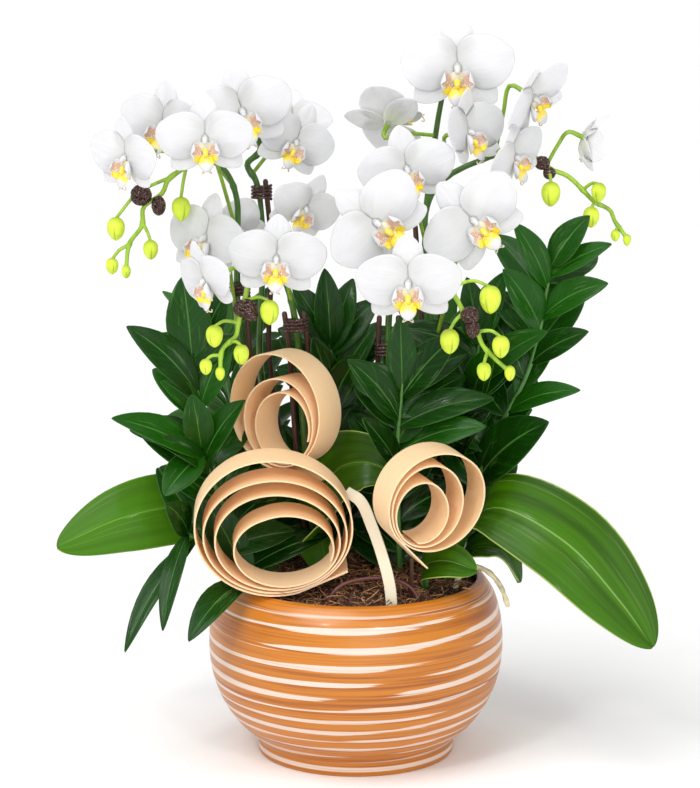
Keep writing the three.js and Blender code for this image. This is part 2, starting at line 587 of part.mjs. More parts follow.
function frond({ stalk, leaflets, up }) {
  const curve = curveOf(stalk);
  const blades = leaflets.map(([x, y, z, width, height]) => leaf({
    base: pointAtHeight(curve, height), tip: V(x, y, z), up: at(up), width,
    arch: 0.06, fold: 0.22, shape: LEAFLET, thick: LEAFLET_THICK * 1.6, rows: [0.28, 0.68],
  }));
  return joined([bar(stalk.map(at), taper(2.6, 1.2), 4, 7), ...blades]);
}

// ---------------------------------------------------------------- veneer coils and small things

// A strip of veneer rolled into rings that all touch at one side. rings are their widths and heights, touch
// the angle where they meet, counterclockwise from the right, from the share of a turn past it where the
// strip leaves the rings, and tail its free end there, as [right, up] points from the coil's centre.
const COILS = {
  coil_top: {
    centre: [-48, -23, 251.5], yaw: -36, pitch: 0, rings: [[79, 81], [58, 61], [45, 49]], touch: -62, from: 0.12,
    tail: [[24, -49], [8, -43.5]],
  },
  coil_left: {
    centre: [-56, -62, 180], yaw: 3, pitch: -8, rings: [[109, 99], [98, 82], [86, 70], [66, 51]], touch: -62,
    from: 0.03, tail: [[50, -32]],
  },
  coil_right: {
    centre: [50, -71, 199], yaw: 25, pitch: -7, rings: [[73, 71], [53, 58], [38, 42]], touch: -142, from: 0,
    tail: [[-4.5, -46]],
  },
};

function veneerCoil({ centre, yaw, pitch, rings, touch, from, tail }) {
  const meet = THREE.MathUtils.degToRad(touch);
  const turns = rings.length - 0.12;
  const count = Math.round((turns - from) * VENEER.facets);
  const line = [];
  for (let i = 0; i <= count; i++) {
    const turn = THREE.MathUtils.lerp(from, turns, i / count);
    const place = THREE.MathUtils.clamp(turn - 0.5, 0, rings.length - 1);
    const index = Math.min(rings.length - 2, Math.floor(place));
    const [wide, high] = rings[index].map((size, axis) => (
      THREE.MathUtils.lerp(size, rings[index + 1][axis], place - index) / 2));
    const angle = meet - 2 * Math.PI * turn;
    const inset = turn * VENEER.step;
    line.push(new THREE.Vector2(
      (rings[0][0] / 2 - wide - inset) * Math.cos(meet) + wide * Math.cos(angle),
      (rings[0][1] / 2 - high - inset) * Math.sin(meet) + high * Math.sin(angle),
    ));
  }
  line.unshift(...tail.map(([x, y]) => new THREE.Vector2(x, y)));
  const side = (sign) => line.map((p, i) => {
    const along = line[Math.min(i + 1, line.length - 1)].clone().sub(line[Math.max(i - 1, 0)]).normalize();
    return p.clone().add(new THREE.Vector2(-along.y, along.x).multiplyScalar((sign * VENEER.thick) / 2));
  });
  const strip = new THREE.Shape([...side(1), ...side(-1).reverse()]);
  const solid = new THREE.ExtrudeGeometry(strip, { depth: VENEER.width, bevelEnabled: false, steps: 1 });
  solid.translate(0, 0, -VENEER.width / 2);
  const { right, top, look } = facing(yaw, pitch, 0);
  solid.applyMatrix4(new THREE.Matrix4().makeBasis(right, top, look));
  return solidOfGeometry(solid.translate(...centre));
}

// A flat ribbon along a curve. across is the way its width lies.
function ribbon(points, across, width, thick, steps) {
  const curve = curveOf(points);
  const rings = [];
  for (let i = 0; i <= steps; i++) {
    const along = curve.getTangentAt(i / steps);
    const side = at(across).addScaledVector(along, -along.dot(at(across))).normalize();
    const out = along.clone().cross(side);
    const centre = curve.getPointAt(i / steps);
    rings.push([[1, 1], [-1, 1], [-1, -1], [1, -1]].map(([a, b]) => centre.clone()
      .addScaledVector(side, (a * width) / 2).addScaledVector(out, (b * thick) / 2)));
  }
  return loft(rings, curve.getPointAt(0), curve.getPointAt(1));
}

const STRAP = [[-7, -42, 197], [3, -50, 192], [11, -59, 176], [17, -64, 160], [23, -72, 138], [25, -75, 112]];
const BOW = [[-18, -70, 112], [-18, -70, 128], [-10, -68, 137], [13, -63, 141], [34, -64, 137], [42, -66, 128], [42, -66, 112]];
const ROOT = [[70, -26, 108], [71, -27, 130], [80, -28, 140], [92, -30, 137], [101, -33, 127], [106, -35, 114]];
const PICK = [[38, -60, STEM_FOOT], [38, -60, 130], [38, -68, 146], [38, -74, 157]];

// ---------------------------------------------------------------- the pieces

addPiece('bowl', 'glaze', turned([[0, 0], ...POT_OUTSIDE, ...POT_INSIDE], POT.facets));
addPiece('potting_mix', 'mix', pottingMix());

const spikes = Object.keys(SPIKES).map((name) => [name, flowerSpike(name)]);

// Plain blind holes in the moss for all that stands in it: the place, and the half sizes of what stands there.
const socket = ([x, y], across, deep, turn = 0) => {
  const hole = new THREE.BoxGeometry(2 * across, 2 * deep, 60).rotateZ(turn);
  return solidOfGeometry(hole.translate(x, y, STEM_FOOT - GAP + 30));
};
const holes = [
  ...Object.values(STAKES).map(({ spike, sides }) => {
    const [x, y] = SPIKES[spike].path[0];
    const reach = STAKE_OFFSET + STAKE_RADIUS + 1;
    const [low, high] = [x - (sides.includes(-1) ? reach : 5), x + reach];
    return socket([(low + high) / 2, y], (high - low) / 2, 5);
  }),
  ...Object.values(STRAP_LEAVES).map(({ foot: place }) => socket(place, 3.3, 3.3)),
  ...Object.values(FRONDS).map(({ stalk }) => socket(stalk[0], 3.3, 3.3)),
  ...[PICK, BOW, [...BOW].reverse(), ROOT].map((line) => socket(line[0], 2.6, 2.6)),
  socket([STRAP[STRAP.length - 1][0], STRAP[STRAP.length - 1][1]], 5.4, 2.4, -0.37),
];
addPiece('moss_cover', 'moss', mossCover().subtract(joined(holes)));

for (const [name, solid] of spikes) addPiece(name, 'spike', solid);
for (const [name, , , centre, ...turned] of BLOOMS) {
  addPiece(name, 'petal', bloom(at(centre), ...turned));
}
for (const [name, plan] of Object.entries(STAKES)) addPiece(name, 'stake', stakes(plan));
for (const [name, plan] of Object.entries(KNOTS)) addPiece(name, 'wire', knot(plan));
for (const [name, plan] of Object.entries(STRAP_LEAVES)) {
  addPiece(name, 'strap_leaf', strapLeaf(plan).add(foot(plan.foot, plan.spine[0][2], 2.8)));
}
for (const [name, plan] of Object.entries(FRONDS)) addPiece(name, 'frond', frond(plan));
for (const [name, plan] of Object.entries(COILS)) addPiece(name, 'veneer', veneerCoil(plan));
addPiece('veneer_strap', 'strap', ribbon(STRAP, [0.93, -0.36, 0], 8, 1.2, 8));
addPiece('bowed_wire', 'wire', bar(BOW.map(at), () => 1.1, 5, 14));
addPiece('aerial_root', 'root', bar(ROOT.map(at), taper(2.1, 1.7), 5, 10));
addPiece('coil_pick', 'stake', bar(PICK.map(at), () => 1.4, 5, 6));

export default orchid;
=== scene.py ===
"""A potted orchid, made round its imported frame.

A glazed bowl of moss carries five flower spikes of a white moth orchid on stakes, broad strap leaves, glossy
pinnate fronds, three coils of wood veneer, a strap, a bowed wire and one aerial root.

The tables below are in millimetres, in the frame's own axes: +Z up, the front facing -Y, and the origin at
the centre of the bowl's underside. MM turns them into metres.
"""

import math
import random

import bpy
import numpy as np
from bpy.props import FloatProperty, FloatVectorProperty, IntProperty, PointerProperty
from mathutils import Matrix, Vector

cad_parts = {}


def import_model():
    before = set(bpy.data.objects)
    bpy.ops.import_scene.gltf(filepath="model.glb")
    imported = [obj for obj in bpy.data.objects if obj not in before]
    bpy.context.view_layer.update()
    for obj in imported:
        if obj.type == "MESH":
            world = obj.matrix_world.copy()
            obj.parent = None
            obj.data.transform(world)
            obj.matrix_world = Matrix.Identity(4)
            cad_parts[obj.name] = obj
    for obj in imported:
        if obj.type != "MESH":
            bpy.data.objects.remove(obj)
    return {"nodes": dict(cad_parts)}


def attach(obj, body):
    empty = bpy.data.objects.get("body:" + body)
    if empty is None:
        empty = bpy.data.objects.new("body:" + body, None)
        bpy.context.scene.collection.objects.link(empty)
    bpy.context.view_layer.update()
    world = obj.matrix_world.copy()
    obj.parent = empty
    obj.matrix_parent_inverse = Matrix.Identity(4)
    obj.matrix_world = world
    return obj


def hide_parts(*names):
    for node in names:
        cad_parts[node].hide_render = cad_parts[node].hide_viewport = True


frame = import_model()

bl_info = {
    "name": "Potted orchid",
    "version": (1, 0, 0),
    "blender": (4, 5, 0),
    "location": "3D View > Sidebar > Orchid",
    "description": "Builds a potted moth orchid with fronds and veneer coils round its frame",
    "category": "Object",
}

MM = 0.001
BODY = "root"
FULL_TURN = 2 * math.pi

# ------------------------------------------------------------------ sizes and places

STEM_FOOT = 97  # where the stems end in the moss

BLOOM_SPAN = 80  # the span at which a bloom is drawn
HUB_BACK = 4.6  # how far the middle of such a bloom reaches behind its centre
PEDICEL_RADIUS, PEDICEL_FLARE = 1.35, 0.5
BUD_STALK_RADIUS, BUD_STALK_TAPER = 1.3, 0.2

BUD_FULLNESS, LAST_BUD_FULLNESS = 0.4, 0.36  # a bud's half-width for each unit of its length

SPIKE_FOOT_RADIUS, SPIKE_TIP_RADIUS = 3.5, 1.4
BRANCH_RADIUS, BRANCH_TAPER = 2.4, 0.6
JOINT_SWELL, JOINT_REACH = 0.55, 2.2  # how far a spike swells at a joint, and over what length
LOWEST_JOINT = 0.3  # the lowest joint's share along its spike

STAKE_RADIUS, STAKE_OFFSET = 1.9, 6.6
STAKE_LEVELS = (120, 138, 165, 200, 240, 290, 350)  # heights at which a stake follows its spike
TIE_TURNS, TIE_RISE, TIE_WIRE = 4, 2.4, 1.1
TIE_REACH = {1: (6.6, 5.9), 2: (7.9, 5.8)}  # a tie's half-widths round one stake and round two
TIE_SHIFT = 2  # how far a tie round one stake lies towards it
KNOT_WIRE, KNOT_WINDS, KNOT_SWAYS = 0.9, 11, 2.3

LEAF_STALK_RADIUS = 2.6
FROND_STALK_RADIUS, FROND_STALK_TAPER = 2.6, 1.4

MOUTH_RADIUS = 85.5
MOSS_BOTTOM, MOSS_EDGE, MOSS_DOME, MOSS_LUMPS = 92, 120, 14, 2
MOSS_GAP = 0.6  # between the moss and the bowl's wall
MOSS_SIDES = 96
FIBRE_LENGTH, FIBRE_LOWEST, FIBRE_REACH = 11, 118, 77  # fibres grow above a height and inside a radius

VENEER_WIDTH, VENEER_THICK, VENEER_STEP = 25, 1.1, 1.6
VENEER_FACETS = 72  # in one turn of a coil
COIL_MARGIN, COIL_DEPTH = 7, 19  # how far leaflets keep from a coil, round it and behind its middle

# The bowl's wall as [radius, height] points: its foot from the middle outwards, its outside from the foot up,
# the turn of its rim, its inside from the rim down, and its floor.
POT_FOOT = [[0, 0.8], [55, 0.8], [60, 0.6], [63, 0], [68.3, 0], [69.3, 0.5], [69.8, 1.5], [69.9, 5]]
POT_OUTSIDE = [
    [69.8, 9], [74.2, 14.5], [85.2, 25], [95.8, 41], [102.4, 60], [104.4, 79], [103, 98], [98.6, 114],
    [93, 123], [89.7, 126.5], [87, 127.3],
]
POT_RIM = [86, 126.9]
POT_INSIDE = [
    [85.5, 125.5], [88.5, 119], [95.4, 106], [98.7, 84], [95.8, 58], [85.8, 37], [68, 17], [52, 9],
]
POT_FLOOR = [[20, 8.2], [0, 8]]

# Each bloom: the spike that bears it, its share along that spike, or below 0 along the spike's branch, its
# centre, the way it looks (yaw towards +X, pitch upwards, roll clockwise from the front), its span and how
# far its tepals stand forward.
BLOOMS = {
    "bloom_left_outer": ["spike_left_arch", 0.78, [-154, -50, 430], -40, -6, 3, 62, 4],
    "bloom_left_upper": ["spike_left_arch", 0.7, [-131, -24, 450], -25, -2, 8, 66, 2],
    "bloom_left_crown": ["spike_left_arch", 0.62, [-101, -60, 444], 0, -5, -3, 67, 0],
    "bloom_left_low": ["spike_left_arch", 0.45, [-102, -24, 371], -38, 10, 10, 70, 0],
    "bloom_left_back": ["spike_left_tall", 0.99, [-78, -13, 457], 8, 2, -14, 73, 0],
    "bloom_left_side": ["spike_left_tall", 0.93, [-45, 28, 448], 10, 45, 10, 58, 0],
    "bloom_left_inner": ["spike_left_tall", 0.88, [-42, 4, 435], 18, -6, 24, 60, 0],
    "bloom_left_shade": ["spike_left_tall", 0.68, [-88, 19, 370], 4, 2, -46, 54, 0],
    "bloom_left_turned": ["spike_left_tall", 0.76, [-35, -26, 393], 24, -18, 26, 56, 0],
    "bloom_front_left": ["spike_front_left", 0.62, [-53, -88, 367], 0, -5, 3, 67, 0],
    "bloom_front_profile": ["spike_front_left", 0.76, [-99, -98, 354], -52, -14, -12, 60, 0],
    "bloom_centre": ["spike_centre", 0.58, [13, -88, 391], 6, 0, -52, 76, 0],
    "bloom_front_low": ["spike_centre", 0.7, [34, -122, 356], -4, -8, 0, 72, 0],
    "bloom_top": ["spike_right", -1, [69, -8, 487], 0, -4, 0, 80, 0],
    "bloom_centre_upper": ["spike_right", -0.6, [22, 14, 447], 165, 42, 84, 70, 2],
    "bloom_centre_back": ["spike_right", 0.56, [34, -50, 422], 4, 0, -12, 67, 0],
    "bloom_right_front": ["spike_right", 0.4, [78, -70, 390], 6, -2, -42, 75, 0],
    "bloom_right_mid": ["spike_right", 0.67, [75, -26, 444], 50, 12, -4, 65, 11],
    "bloom_right_small": ["spike_right", 0.8, [107, -29, 428], 50, -10, -25, 58, 4],
    "bloom_right_upper": ["spike_right", 0.75, [119, -22, 468], 52, -20, -38, 66, 8],
    "bloom_right_opening": ["spike_right", 0.835, [157, -6, 438], 104, -20, -20, 48, 18],
}

# Each spike: its line from its foot in the moss to its last bud, its buds (share along it, centre, length)
# and a side branch.
SPIKES = {
    "spike_left_arch": {
        "path": [
            [-48, 24, 97], [-48, 24, 120], [-49, 24, 140], [-54, 22, 168], [-68, 18, 220], [-82, 12, 294],
            [-83, 10, 358], [-83, 4, 396], [-92, -4, 417], [-108, -8, 424], [-121, -12, 416],
            [-129, -14, 410], [-133, -15, 401], [-146, -16, 391], [-147, -16, 379], [-156, -16, 366],
            [-158.5, -17.5, 348],
        ],
        "buds": [
            [0.8, [-120, -20, 391], 16], [0.83, [-165, -18, 377], 15.5], [0.92, [-141, -22, 363], 13],
            [0.96, [-168, -18, 351], 11], [1, [-158.5, -17.5, 347], 9],
        ],
    },
    "spike_left_tall": {
        "path": [
            [-38, 46, 97], [-38, 46, 120], [-39, 46, 140], [-45, 44, 166], [-57, 40, 208], [-68, 34, 270],
            [-66, 30, 340], [-66, 28, 378], [-70, 27, 404], [-76, 26, 416], [-67, 24, 426], [-73, 20, 446],
        ],
        "buds": [],
    },
    "spike_front_left": {
        "path": [
            [-28, 4, 97], [-28, 4, 120], [-28, 4, 140], [-33, 2, 190], [-37, 0, 240], [-40, -3, 291],
            [-46, -20, 332], [-54, -38, 352], [-64, -56, 358], [-71, -68, 350], [-75, -75, 336],
            [-79, -76, 322], [-81, -76, 312], [-90, -77, 303], [-91.5, -78.5, 288],
        ],
        "buds": [
            [0.86, [-58, -82, 329.5], 16], [0.9, [-95, -80, 313], 14.5], [0.94, [-77, -83, 301], 13],
            [0.97, [-101, -80, 292], 10.5], [1, [-91.5, -78.5, 287], 9],
        ],
    },
    "spike_centre": {
        "path": [
            [12, 8, 97], [12, 8, 120], [12.5, 7, 142], [16, 3, 182], [20, -5, 226], [22, -10, 291],
            [24, -20, 326], [32, -40, 346], [46, -66, 354], [59, -84, 349], [67, -90, 339], [73, -91, 328],
            [80, -92, 319], [84, -92, 309], [92, -92, 300], [102, -92.5, 291],
        ],
        "buds": [
            [0.82, [89, -93, 340], 18], [0.87, [62, -97, 312.5], 16], [0.91, [96, -98, 309], 14.5],
            [0.95, [85, -97, 292], 12], [1, [102.5, -92.5, 290], 10],
        ],
    },
    "spike_right": {
        "path": [
            [46, 26, 97], [46, 26, 120], [47, 25, 142], [52, 20, 190], [58, 14, 243], [53, 15, 300],
            [50, 17, 345], [49, 18, 385], [58, 16, 404], [74, 13, 415], [90, 9, 422], [104, 5, 428],
            [118, 2, 428], [131, 0, 417], [146, 0, 411], [157, 0, 401], [165, 0, 393], [176, 0, 387],
            [179, 0, 380], [188, 0, 367.5],
        ],
        "buds": [
            [0.84, [134, -10, 400], 16.5], [0.9, [167, -9, 401], 13], [0.93, [162, -10, 384], 14],
            [0.98, [179.5, -3, 370], 8], [1, [188, 0, 366.5], 8],
        ],
        "branch": [[49, 18, 385], [53, 17, 420], [57, 14, 450], [61, 12, 472]],
    },
}

# Each stake or pair of stakes: its spike, the sides of it on which they stand, and the heights of their tops
# and of their tie.
STAKES = {
    "stake_left_arch": {"spike": "spike_left_arch", "sides": [1], "top": 352, "tie": 330},
    "stake_left_tall": {"spike": "spike_left_tall", "sides": [1], "top": 404, "tie": 396},
    "stakes_front_left": {"spike": "spike_front_left", "sides": [-1, 1], "top": 316, "tie": 306},
    "stakes_centre": {"spike": "spike_centre", "sides": [-1, 1], "top": 314, "tie": 291},
    "stakes_right": {"spike": "spike_right", "sides": [-1, 1], "top": 372, "tie": 330},
}

# Each knot of wire: its spike, its share along that spike, and the balls it is wound into, as the offset of
# each from the spike and its radii.
KNOTS = {
    "wire_knot_left": {
        "spike": "spike_left_arch", "share": 0.874,
        "balls": [[[-9, -3, 3], [7.5, 6.5, 7.5]], [[3, -4, -4], [5, 5.5, 7]]],
    },
    "wire_knot_front_left": {
        "spike": "spike_front_left", "share": 0.872,
        "balls": [[[2, -2, 0], [8.5, 7, 6.5]], [[6, -2, -4], [5, 5, 5]]],
    },
    "wire_knot_centre": {
        "spike": "spike_centre", "share": 0.888,
        "balls": [[[0, -1, 4], [6.5, 6.5, 6]], [[2, -2, -5], [5, 5.5, 6]]],
    },
    "wire_knot_right": {
        "spike": "spike_right", "share": 0.831,
        "balls": [[[-1, -2, 2], [5.5, 5, 5]], [[4, -2, -5], [4.5, 4.5, 4.5]]],
    },
}

# Each strap leaf: the way its width lies, its width, its line from its foot to its tip and, where it isn't
# the usual one, how full its outline is.
STRAP_LEAVES = {
    "leaf_left": {
        "across": [0, 0.45, 0.9], "width": 52,
        "spine": [[-58, -4, 132], [-74, -6, 162], [-113, -16, 180], [-160, -34, 177], [-207, -45, 158]],
    },
    "leaf_left_back": {
        "across": [0.2, 0.6, 0.7], "width": 36,
        "spine": [[-54, 9, 132], [-74, 12, 172], [-100, 17, 196], [-132, 18, 198]],
    },
    "leaf_right": {
        "across": [0.7, 0.25, 0.7], "width": 60,
        "spine": [
            [64, -12, 132], [74, -20, 162], [96, -36, 184], [143, -60, 166], [180, -74, 128], [203, -82, 97],
        ],
    },
    "leaf_centre": {
        "across": [0, 0.32, 1], "width": 50, "fill": 0.42,
        "spine": [
            [-20, -24, 132], [-25, -18, 160], [-22, -14, 190], [-11, -20, 209], [7, -29, 215], [26, -31, 208],
        ],
    },
    "leaf_right_low": {
        "across": [0.1, 0.6, 0.75], "width": 28,
        "spine": [[48, -36, 128], [49, -50, 147], [63, -60, 152], [83, -64, 146]],
    },
    "leaf_right_round": {
        "across": [0.1, 0.9, 0.3], "width": 34,
        "spine": [[72, -9, 130], [84, -17, 150], [102, -26, 150], [114, -36, 131]],
    },
    "leaf_back": {
        "across": [1, 0.1, 0], "width": 50,
        "spine": [[6, 48, 132], [2, 62, 178], [0, 92, 204], [0, 132, 196], [2, 164, 158]],
    },
}

# Each frond: the way its leaflets' upper faces look, its stalk, its leaflets (tip x, y, z, width and the
# height on the stalk it grows from), and how many more leaflets the rule in more_leaflets adds.
FRONDS = {
    "frond_left": {
        "up": [0, -0.8, 0.6], "more": 14,
        "stalk": [[-64, -18, 97], [-64, -18, 132], [-80, -21, 162], [-98, -26, 205], [-107, -29, 250],
                  [-113, -32, 289]],
        "leaflets": [
            [-156, -54, 315, 22, 260], [-118, -46, 348, 28, 286], [-89, -36, 336, 22, 282],
            [-134, -48, 276, 15, 246], [-86, -22, 302, 20, 252], [-128, -4, 236, 20, 200],
            [-124, 0, 320, 20, 268],
        ],
    },
    "frond_left_low": {
        "up": [0, -0.7, 0.7], "more": 8,
        "stalk": [[-70, -31, 97], [-70, -31, 132], [-84, -33, 165], [-98, -35, 200], [-107, -38, 226]],
        "leaflets": [
            [-166, -68, 254, 24, 220], [-131, -68, 200, 21, 222], [-76, -50, 263, 19, 218],
            [-112, -54, 268, 19, 224], [-140, -62, 238, 16, 206],
        ],
    },
    "frond_left_drooping": {
        "up": [-0.2, -0.7, 0.7], "more": 5,
        "stalk": [[-70, -42, 97], [-70, -42, 116], [-71, -41, 130], [-86, -38, 146], [-103, -38, 159],
                  [-119, -44, 169]],
        "leaflets": [
            [-157, -98, 98, 14, 163], [-131, -98, 113, 14, 167], [-114, -92, 104, 20, 134],
            [-130, -66, 194, 20, 167], [-106, -42, 192, 24, 140],
        ],
    },
    "frond_centre": {
        "up": [0, -0.8, 0.6], "more": 18,
        "stalk": [[31, -14, 97], [31, -14, 132], [29, -26, 188], [29, -34, 233], [32, -38, 272]],
        "leaflets": [
            [-6, -60, 293, 21, 245], [69, -52, 309, 24, 262], [89, -56, 246, 22, 222],
            [56, -30, 266, 20, 228], [95, -44, 263, 22, 240], [30, -44, 320, 19, 266], [4, -58, 252, 18, 212],
        ],
    },
    "frond_right": {
        "up": [0, -0.8, 0.6], "more": 16,
        "stalk": [[74, 8, 97], [74, 8, 132], [80, 2, 168], [89, -4, 205], [101, -9, 237], [117, -14, 270],
                  [125, -18, 296], [131, -22, 333], [134, -24, 352]],
        "leaflets": [
            [107, -40, 384, 17, 336], [159, -34, 388, 19, 350], [174, -38, 369, 15, 344],
            [100, -40, 352, 22, 306], [172, -38, 342, 20, 314], [159, -40, 309, 18, 282],
            [154, -40, 268, 16, 246], [133, -36, 245, 34, 197],
        ],
    },
    "frond_right_inner": {
        "up": [0, -0.8, 0.6], "more": 26,
        "stalk": [[62, 34, 97], [62, 34, 132], [66, 24, 165], [75, 12, 209], [83, 4, 253], [86, 2, 296]],
        "leaflets": [
            [130, -52, 311, 21, 262], [103, 0, 344, 18, 292], [76, -24, 344, 20, 290],
            [94, -50, 300, 20, 246], [92, -44, 254, 22, 206], [124, 8, 300, 19, 250],
            [60, -6, 300, 19, 250], [92, 30, 330, 18, 280],
        ],
    },
    "frond_middle": {
        "up": [0, -0.8, 0.6], "more": 32,
        "stalk": [[-18, 20, 97], [-18, 20, 132], [-20, 16, 170], [-18, 14, 223], [-16, 14, 273],
                  [-18, 16, 290]],
        "leaflets": [
            [-30, -8, 300, 19, 246], [3, -22, 290, 21, 240], [-2, 22, 336, 19, 284], [-44, 10, 334, 20, 284],
            [-54, 10, 296, 18, 250], [16, 16, 306, 19, 258], [-22, 4, 346, 19, 286], [8, 12, 262, 19, 212],
            [-52, 16, 232, 21, 176], [14, 14, 212, 20, 158],
        ],
    },
    "frond_back_left": {
        "up": [0, 0.7, 0.7], "more": 28,
        "stalk": [[-58, 42, 97], [-58, 42, 132], [-74, 50, 180], [-88, 56, 232], [-96, 60, 276]],
        "leaflets": [
            [-104, 68, 334, 22, 274], [-140, 78, 318, 20, 262], [-62, 74, 322, 20, 258],
            [-138, 84, 268, 20, 216], [-50, 82, 276, 20, 220], [-48, 84, 222, 20, 172],
            [-124, 84, 216, 20, 172], [-30, 66, 196, 20, 148],
        ],
    },
    "frond_back_right": {
        "up": [0, 0.7, 0.7], "more": 28,
        "stalk": [[42, 54, 97], [42, 54, 132], [46, 64, 180], [54, 70, 232], [60, 72, 276]],
        "leaflets": [
            [66, 80, 336, 22, 274], [102, 84, 318, 20, 262], [22, 84, 322, 20, 258], [106, 90, 268, 20, 216],
            [12, 88, 272, 20, 220], [98, 96, 218, 20, 170], [4, 94, 226, 20, 176],
        ],
    },
}

# Each coil: its centre and the way it looks, the width and height of each ring, the angle where the rings
# touch, the share of a turn past it where the strip leaves them, and its free end.
COILS = {
    "coil_top": {
        "centre": [-48, -23, 251.5], "yaw": -36, "pitch": 0, "rings": [[79, 81], [58, 61], [45, 49]],
        "touch": -62, "from": 0.12, "tail": [[24, -49], [8, -43.5]],
    },
    "coil_left": {
        "centre": [-56, -62, 180], "yaw": 3, "pitch": -8,
        "rings": [[109, 99], [98, 82], [86, 70], [66, 51]], "touch": -62, "from": 0.03, "tail": [[50, -32]],
    },
    "coil_right": {
        "centre": [50, -71, 199], "yaw": 25, "pitch": -7, "rings": [[73, 71], [53, 58], [38, 42]],
        "touch": -142, "from": 0, "tail": [[-4.5, -46]],
    },
}

# The lines of the veneer strap, the bowed wire, the aerial root and the pick behind the right coil.
STRAP = [[-7, -42, 197], [3, -50, 192], [11, -59, 176], [17, -64, 160], [23, -72, 138], [25, -75, 112]]
BOW = [[-18, -70, 112], [-18, -70, 128], [-10, -68, 137], [13, -63, 141], [34, -64, 137], [42, -66, 128],
       [42, -66, 112]]
ROOT = [[70, -26, 108], [71, -27, 130], [80, -28, 140], [92, -30, 137], [101, -33, 127], [106, -35, 114]]
PICK = [[38, -60, 97], [38, -60, 130], [38, -68, 146], [38, -74, 157]]

STRAP_WIDTH, STRAP_THICK, STRAP_ACROSS = 8, 1.2, [0.93, -0.36, 0]
BOW_WIRE, PICK_RADIUS = 1.3, 1.4

CAMERA_PLACE, CAMERA_AIM = [-4.2, -2000, 650], [-4.2, 0, 257.5]
CAMERA_LENS, CAMERA_SENSOR = 132.85, 36

# The rest of the stage is in metres, and the spread of the sun in degrees.
FLOOR_HALF = 40.0
SUN_ENERGY, SUN_SPREAD, SUN_FROM = 1.5, 40, [-0.34, -0.42, 0.84]
SKY_STRENGTH = 0.7
LAMP_AIM = [0, 0, 0.3]

# Each lamp: its size and energy, and where it stands. The small ones make the glints on leaves and glaze.
LAMPS = {
    "fill": [1.6, 12.5, [0.5, -2.4, 0.7]],
    "glint_left": [0.2, 5.5, [-0.8, -1.5, 1.5]],
    "glint_right": [0.2, 4.2, [0.6, -1.7, 1.3]],
}


# ------------------------------------------------------------------ settings that a user would change

def paint(code):
    """The scene's colour for a screen colour written as six hex digits."""
    parts = [int(code[i:i + 2], 16) / 255 for i in (0, 2, 4)]
    return tuple(c / 12.92 if c <= 0.04045 else ((c + 0.055) / 1.055) ** 2.4 for c in parts)


def colour_setting(name, description, code):
    return FloatVectorProperty(name=name, description=description, subtype="COLOR", size=3, min=0, max=1,
                               default=paint(code))


class OrchidColours(bpy.types.PropertyGroup):
    """The colours of the orchid's finishes"""

    glaze: colour_setting("Glaze", "Ochre glaze of the bowl", "C27519")
    glaze_dark: colour_setting("Dark glaze", "Where the ochre glaze lies thick", "964E10")
    stripe: colour_setting("Stripe", "Cream stripes brushed round the bowl", "E0CFC2")
    moss: colour_setting("Moss", "Sunlit fibres of the moss", "B8895A")
    # The dark moss is partly painted shade: the bed and the darker fibres stand for shadow among the fibres.
    moss_dark: colour_setting("Dark moss", "Old fibres of the moss", "55352C")
    petal: colour_setting("Petal", "White of the tepals", "CFCFD3")
    throat: colour_setting("Throat", "Yellow of the lip", "FFE23C")
    speckle: colour_setting("Speckle", "Red-brown speckles of the lip", "B4622E")
    spike: colour_setting("Spike", "Lower part of a flower spike", "3E6A1A")
    shoot: colour_setting("Shoot", "Young part of a flower spike", "9BC22E")
    bud: colour_setting("Bud", "Lime green of the buds", "D4EA46")
    strap_leaf: colour_setting("Strap leaf", "Broad leaves of the orchid", "3B6B02")
    frond: colour_setting("Frond", "Upper side of the glossy leaflets", "164A04")
    stake: colour_setting("Stake", "Dark wood of the stakes", "4A2A1E")
    veneer: colour_setting("Veneer", "Face of the veneer strips", "FFD0A4")
    strap: colour_setting("Strap", "Pale veneer strap", "EADBC0")
    wire: colour_setting("Wire", "Wire of the knots, ties and bow", "4E2C2A")
    root: colour_setting("Root", "Aerial root", "D9CDA6")
    mix: colour_setting("Mix", "Potting mix", "3A2618")


class OrchidSizes(bpy.types.PropertyGroup):
    """The sizes of the orchid's fine parts"""

    petal_thick: FloatProperty(name="Petal thickness", description="Thickness of a tepal at its middle",
                               default=0.9 * MM, min=0.3 * MM, max=2 * MM, unit="LENGTH", precision=4)
    leaf_thick: FloatProperty(name="Leaf thickness", description="Thickness of a strap leaf at its rib",
                              default=2.2 * MM, min=0.5 * MM, max=4 * MM, unit="LENGTH", precision=4)
    leaflet_thick: FloatProperty(name="Leaflet thickness", description="Thickness of a frond's leaflet",
                                 default=1 * MM, min=0.3 * MM, max=2 * MM, unit="LENGTH", precision=4)
    fibre_radius: FloatProperty(name="Fibre radius", description="Radius of one moss fibre",
                                default=0.5 * MM, min=0.1 * MM, max=1 * MM, unit="LENGTH", precision=5)
    fibre_density: FloatProperty(name="Fibres per area", description="Moss fibres on each square metre",
                                 default=230000, min=0, max=1000000)
    bowl_facets: IntProperty(name="Bowl facets", description="Facets round the bowl", default=160, min=26,
                             max=360)
    seed: IntProperty(name="Seed", description="Seed of everything random", default=7, min=0, max=999)


# ------------------------------------------------------------------ node trees

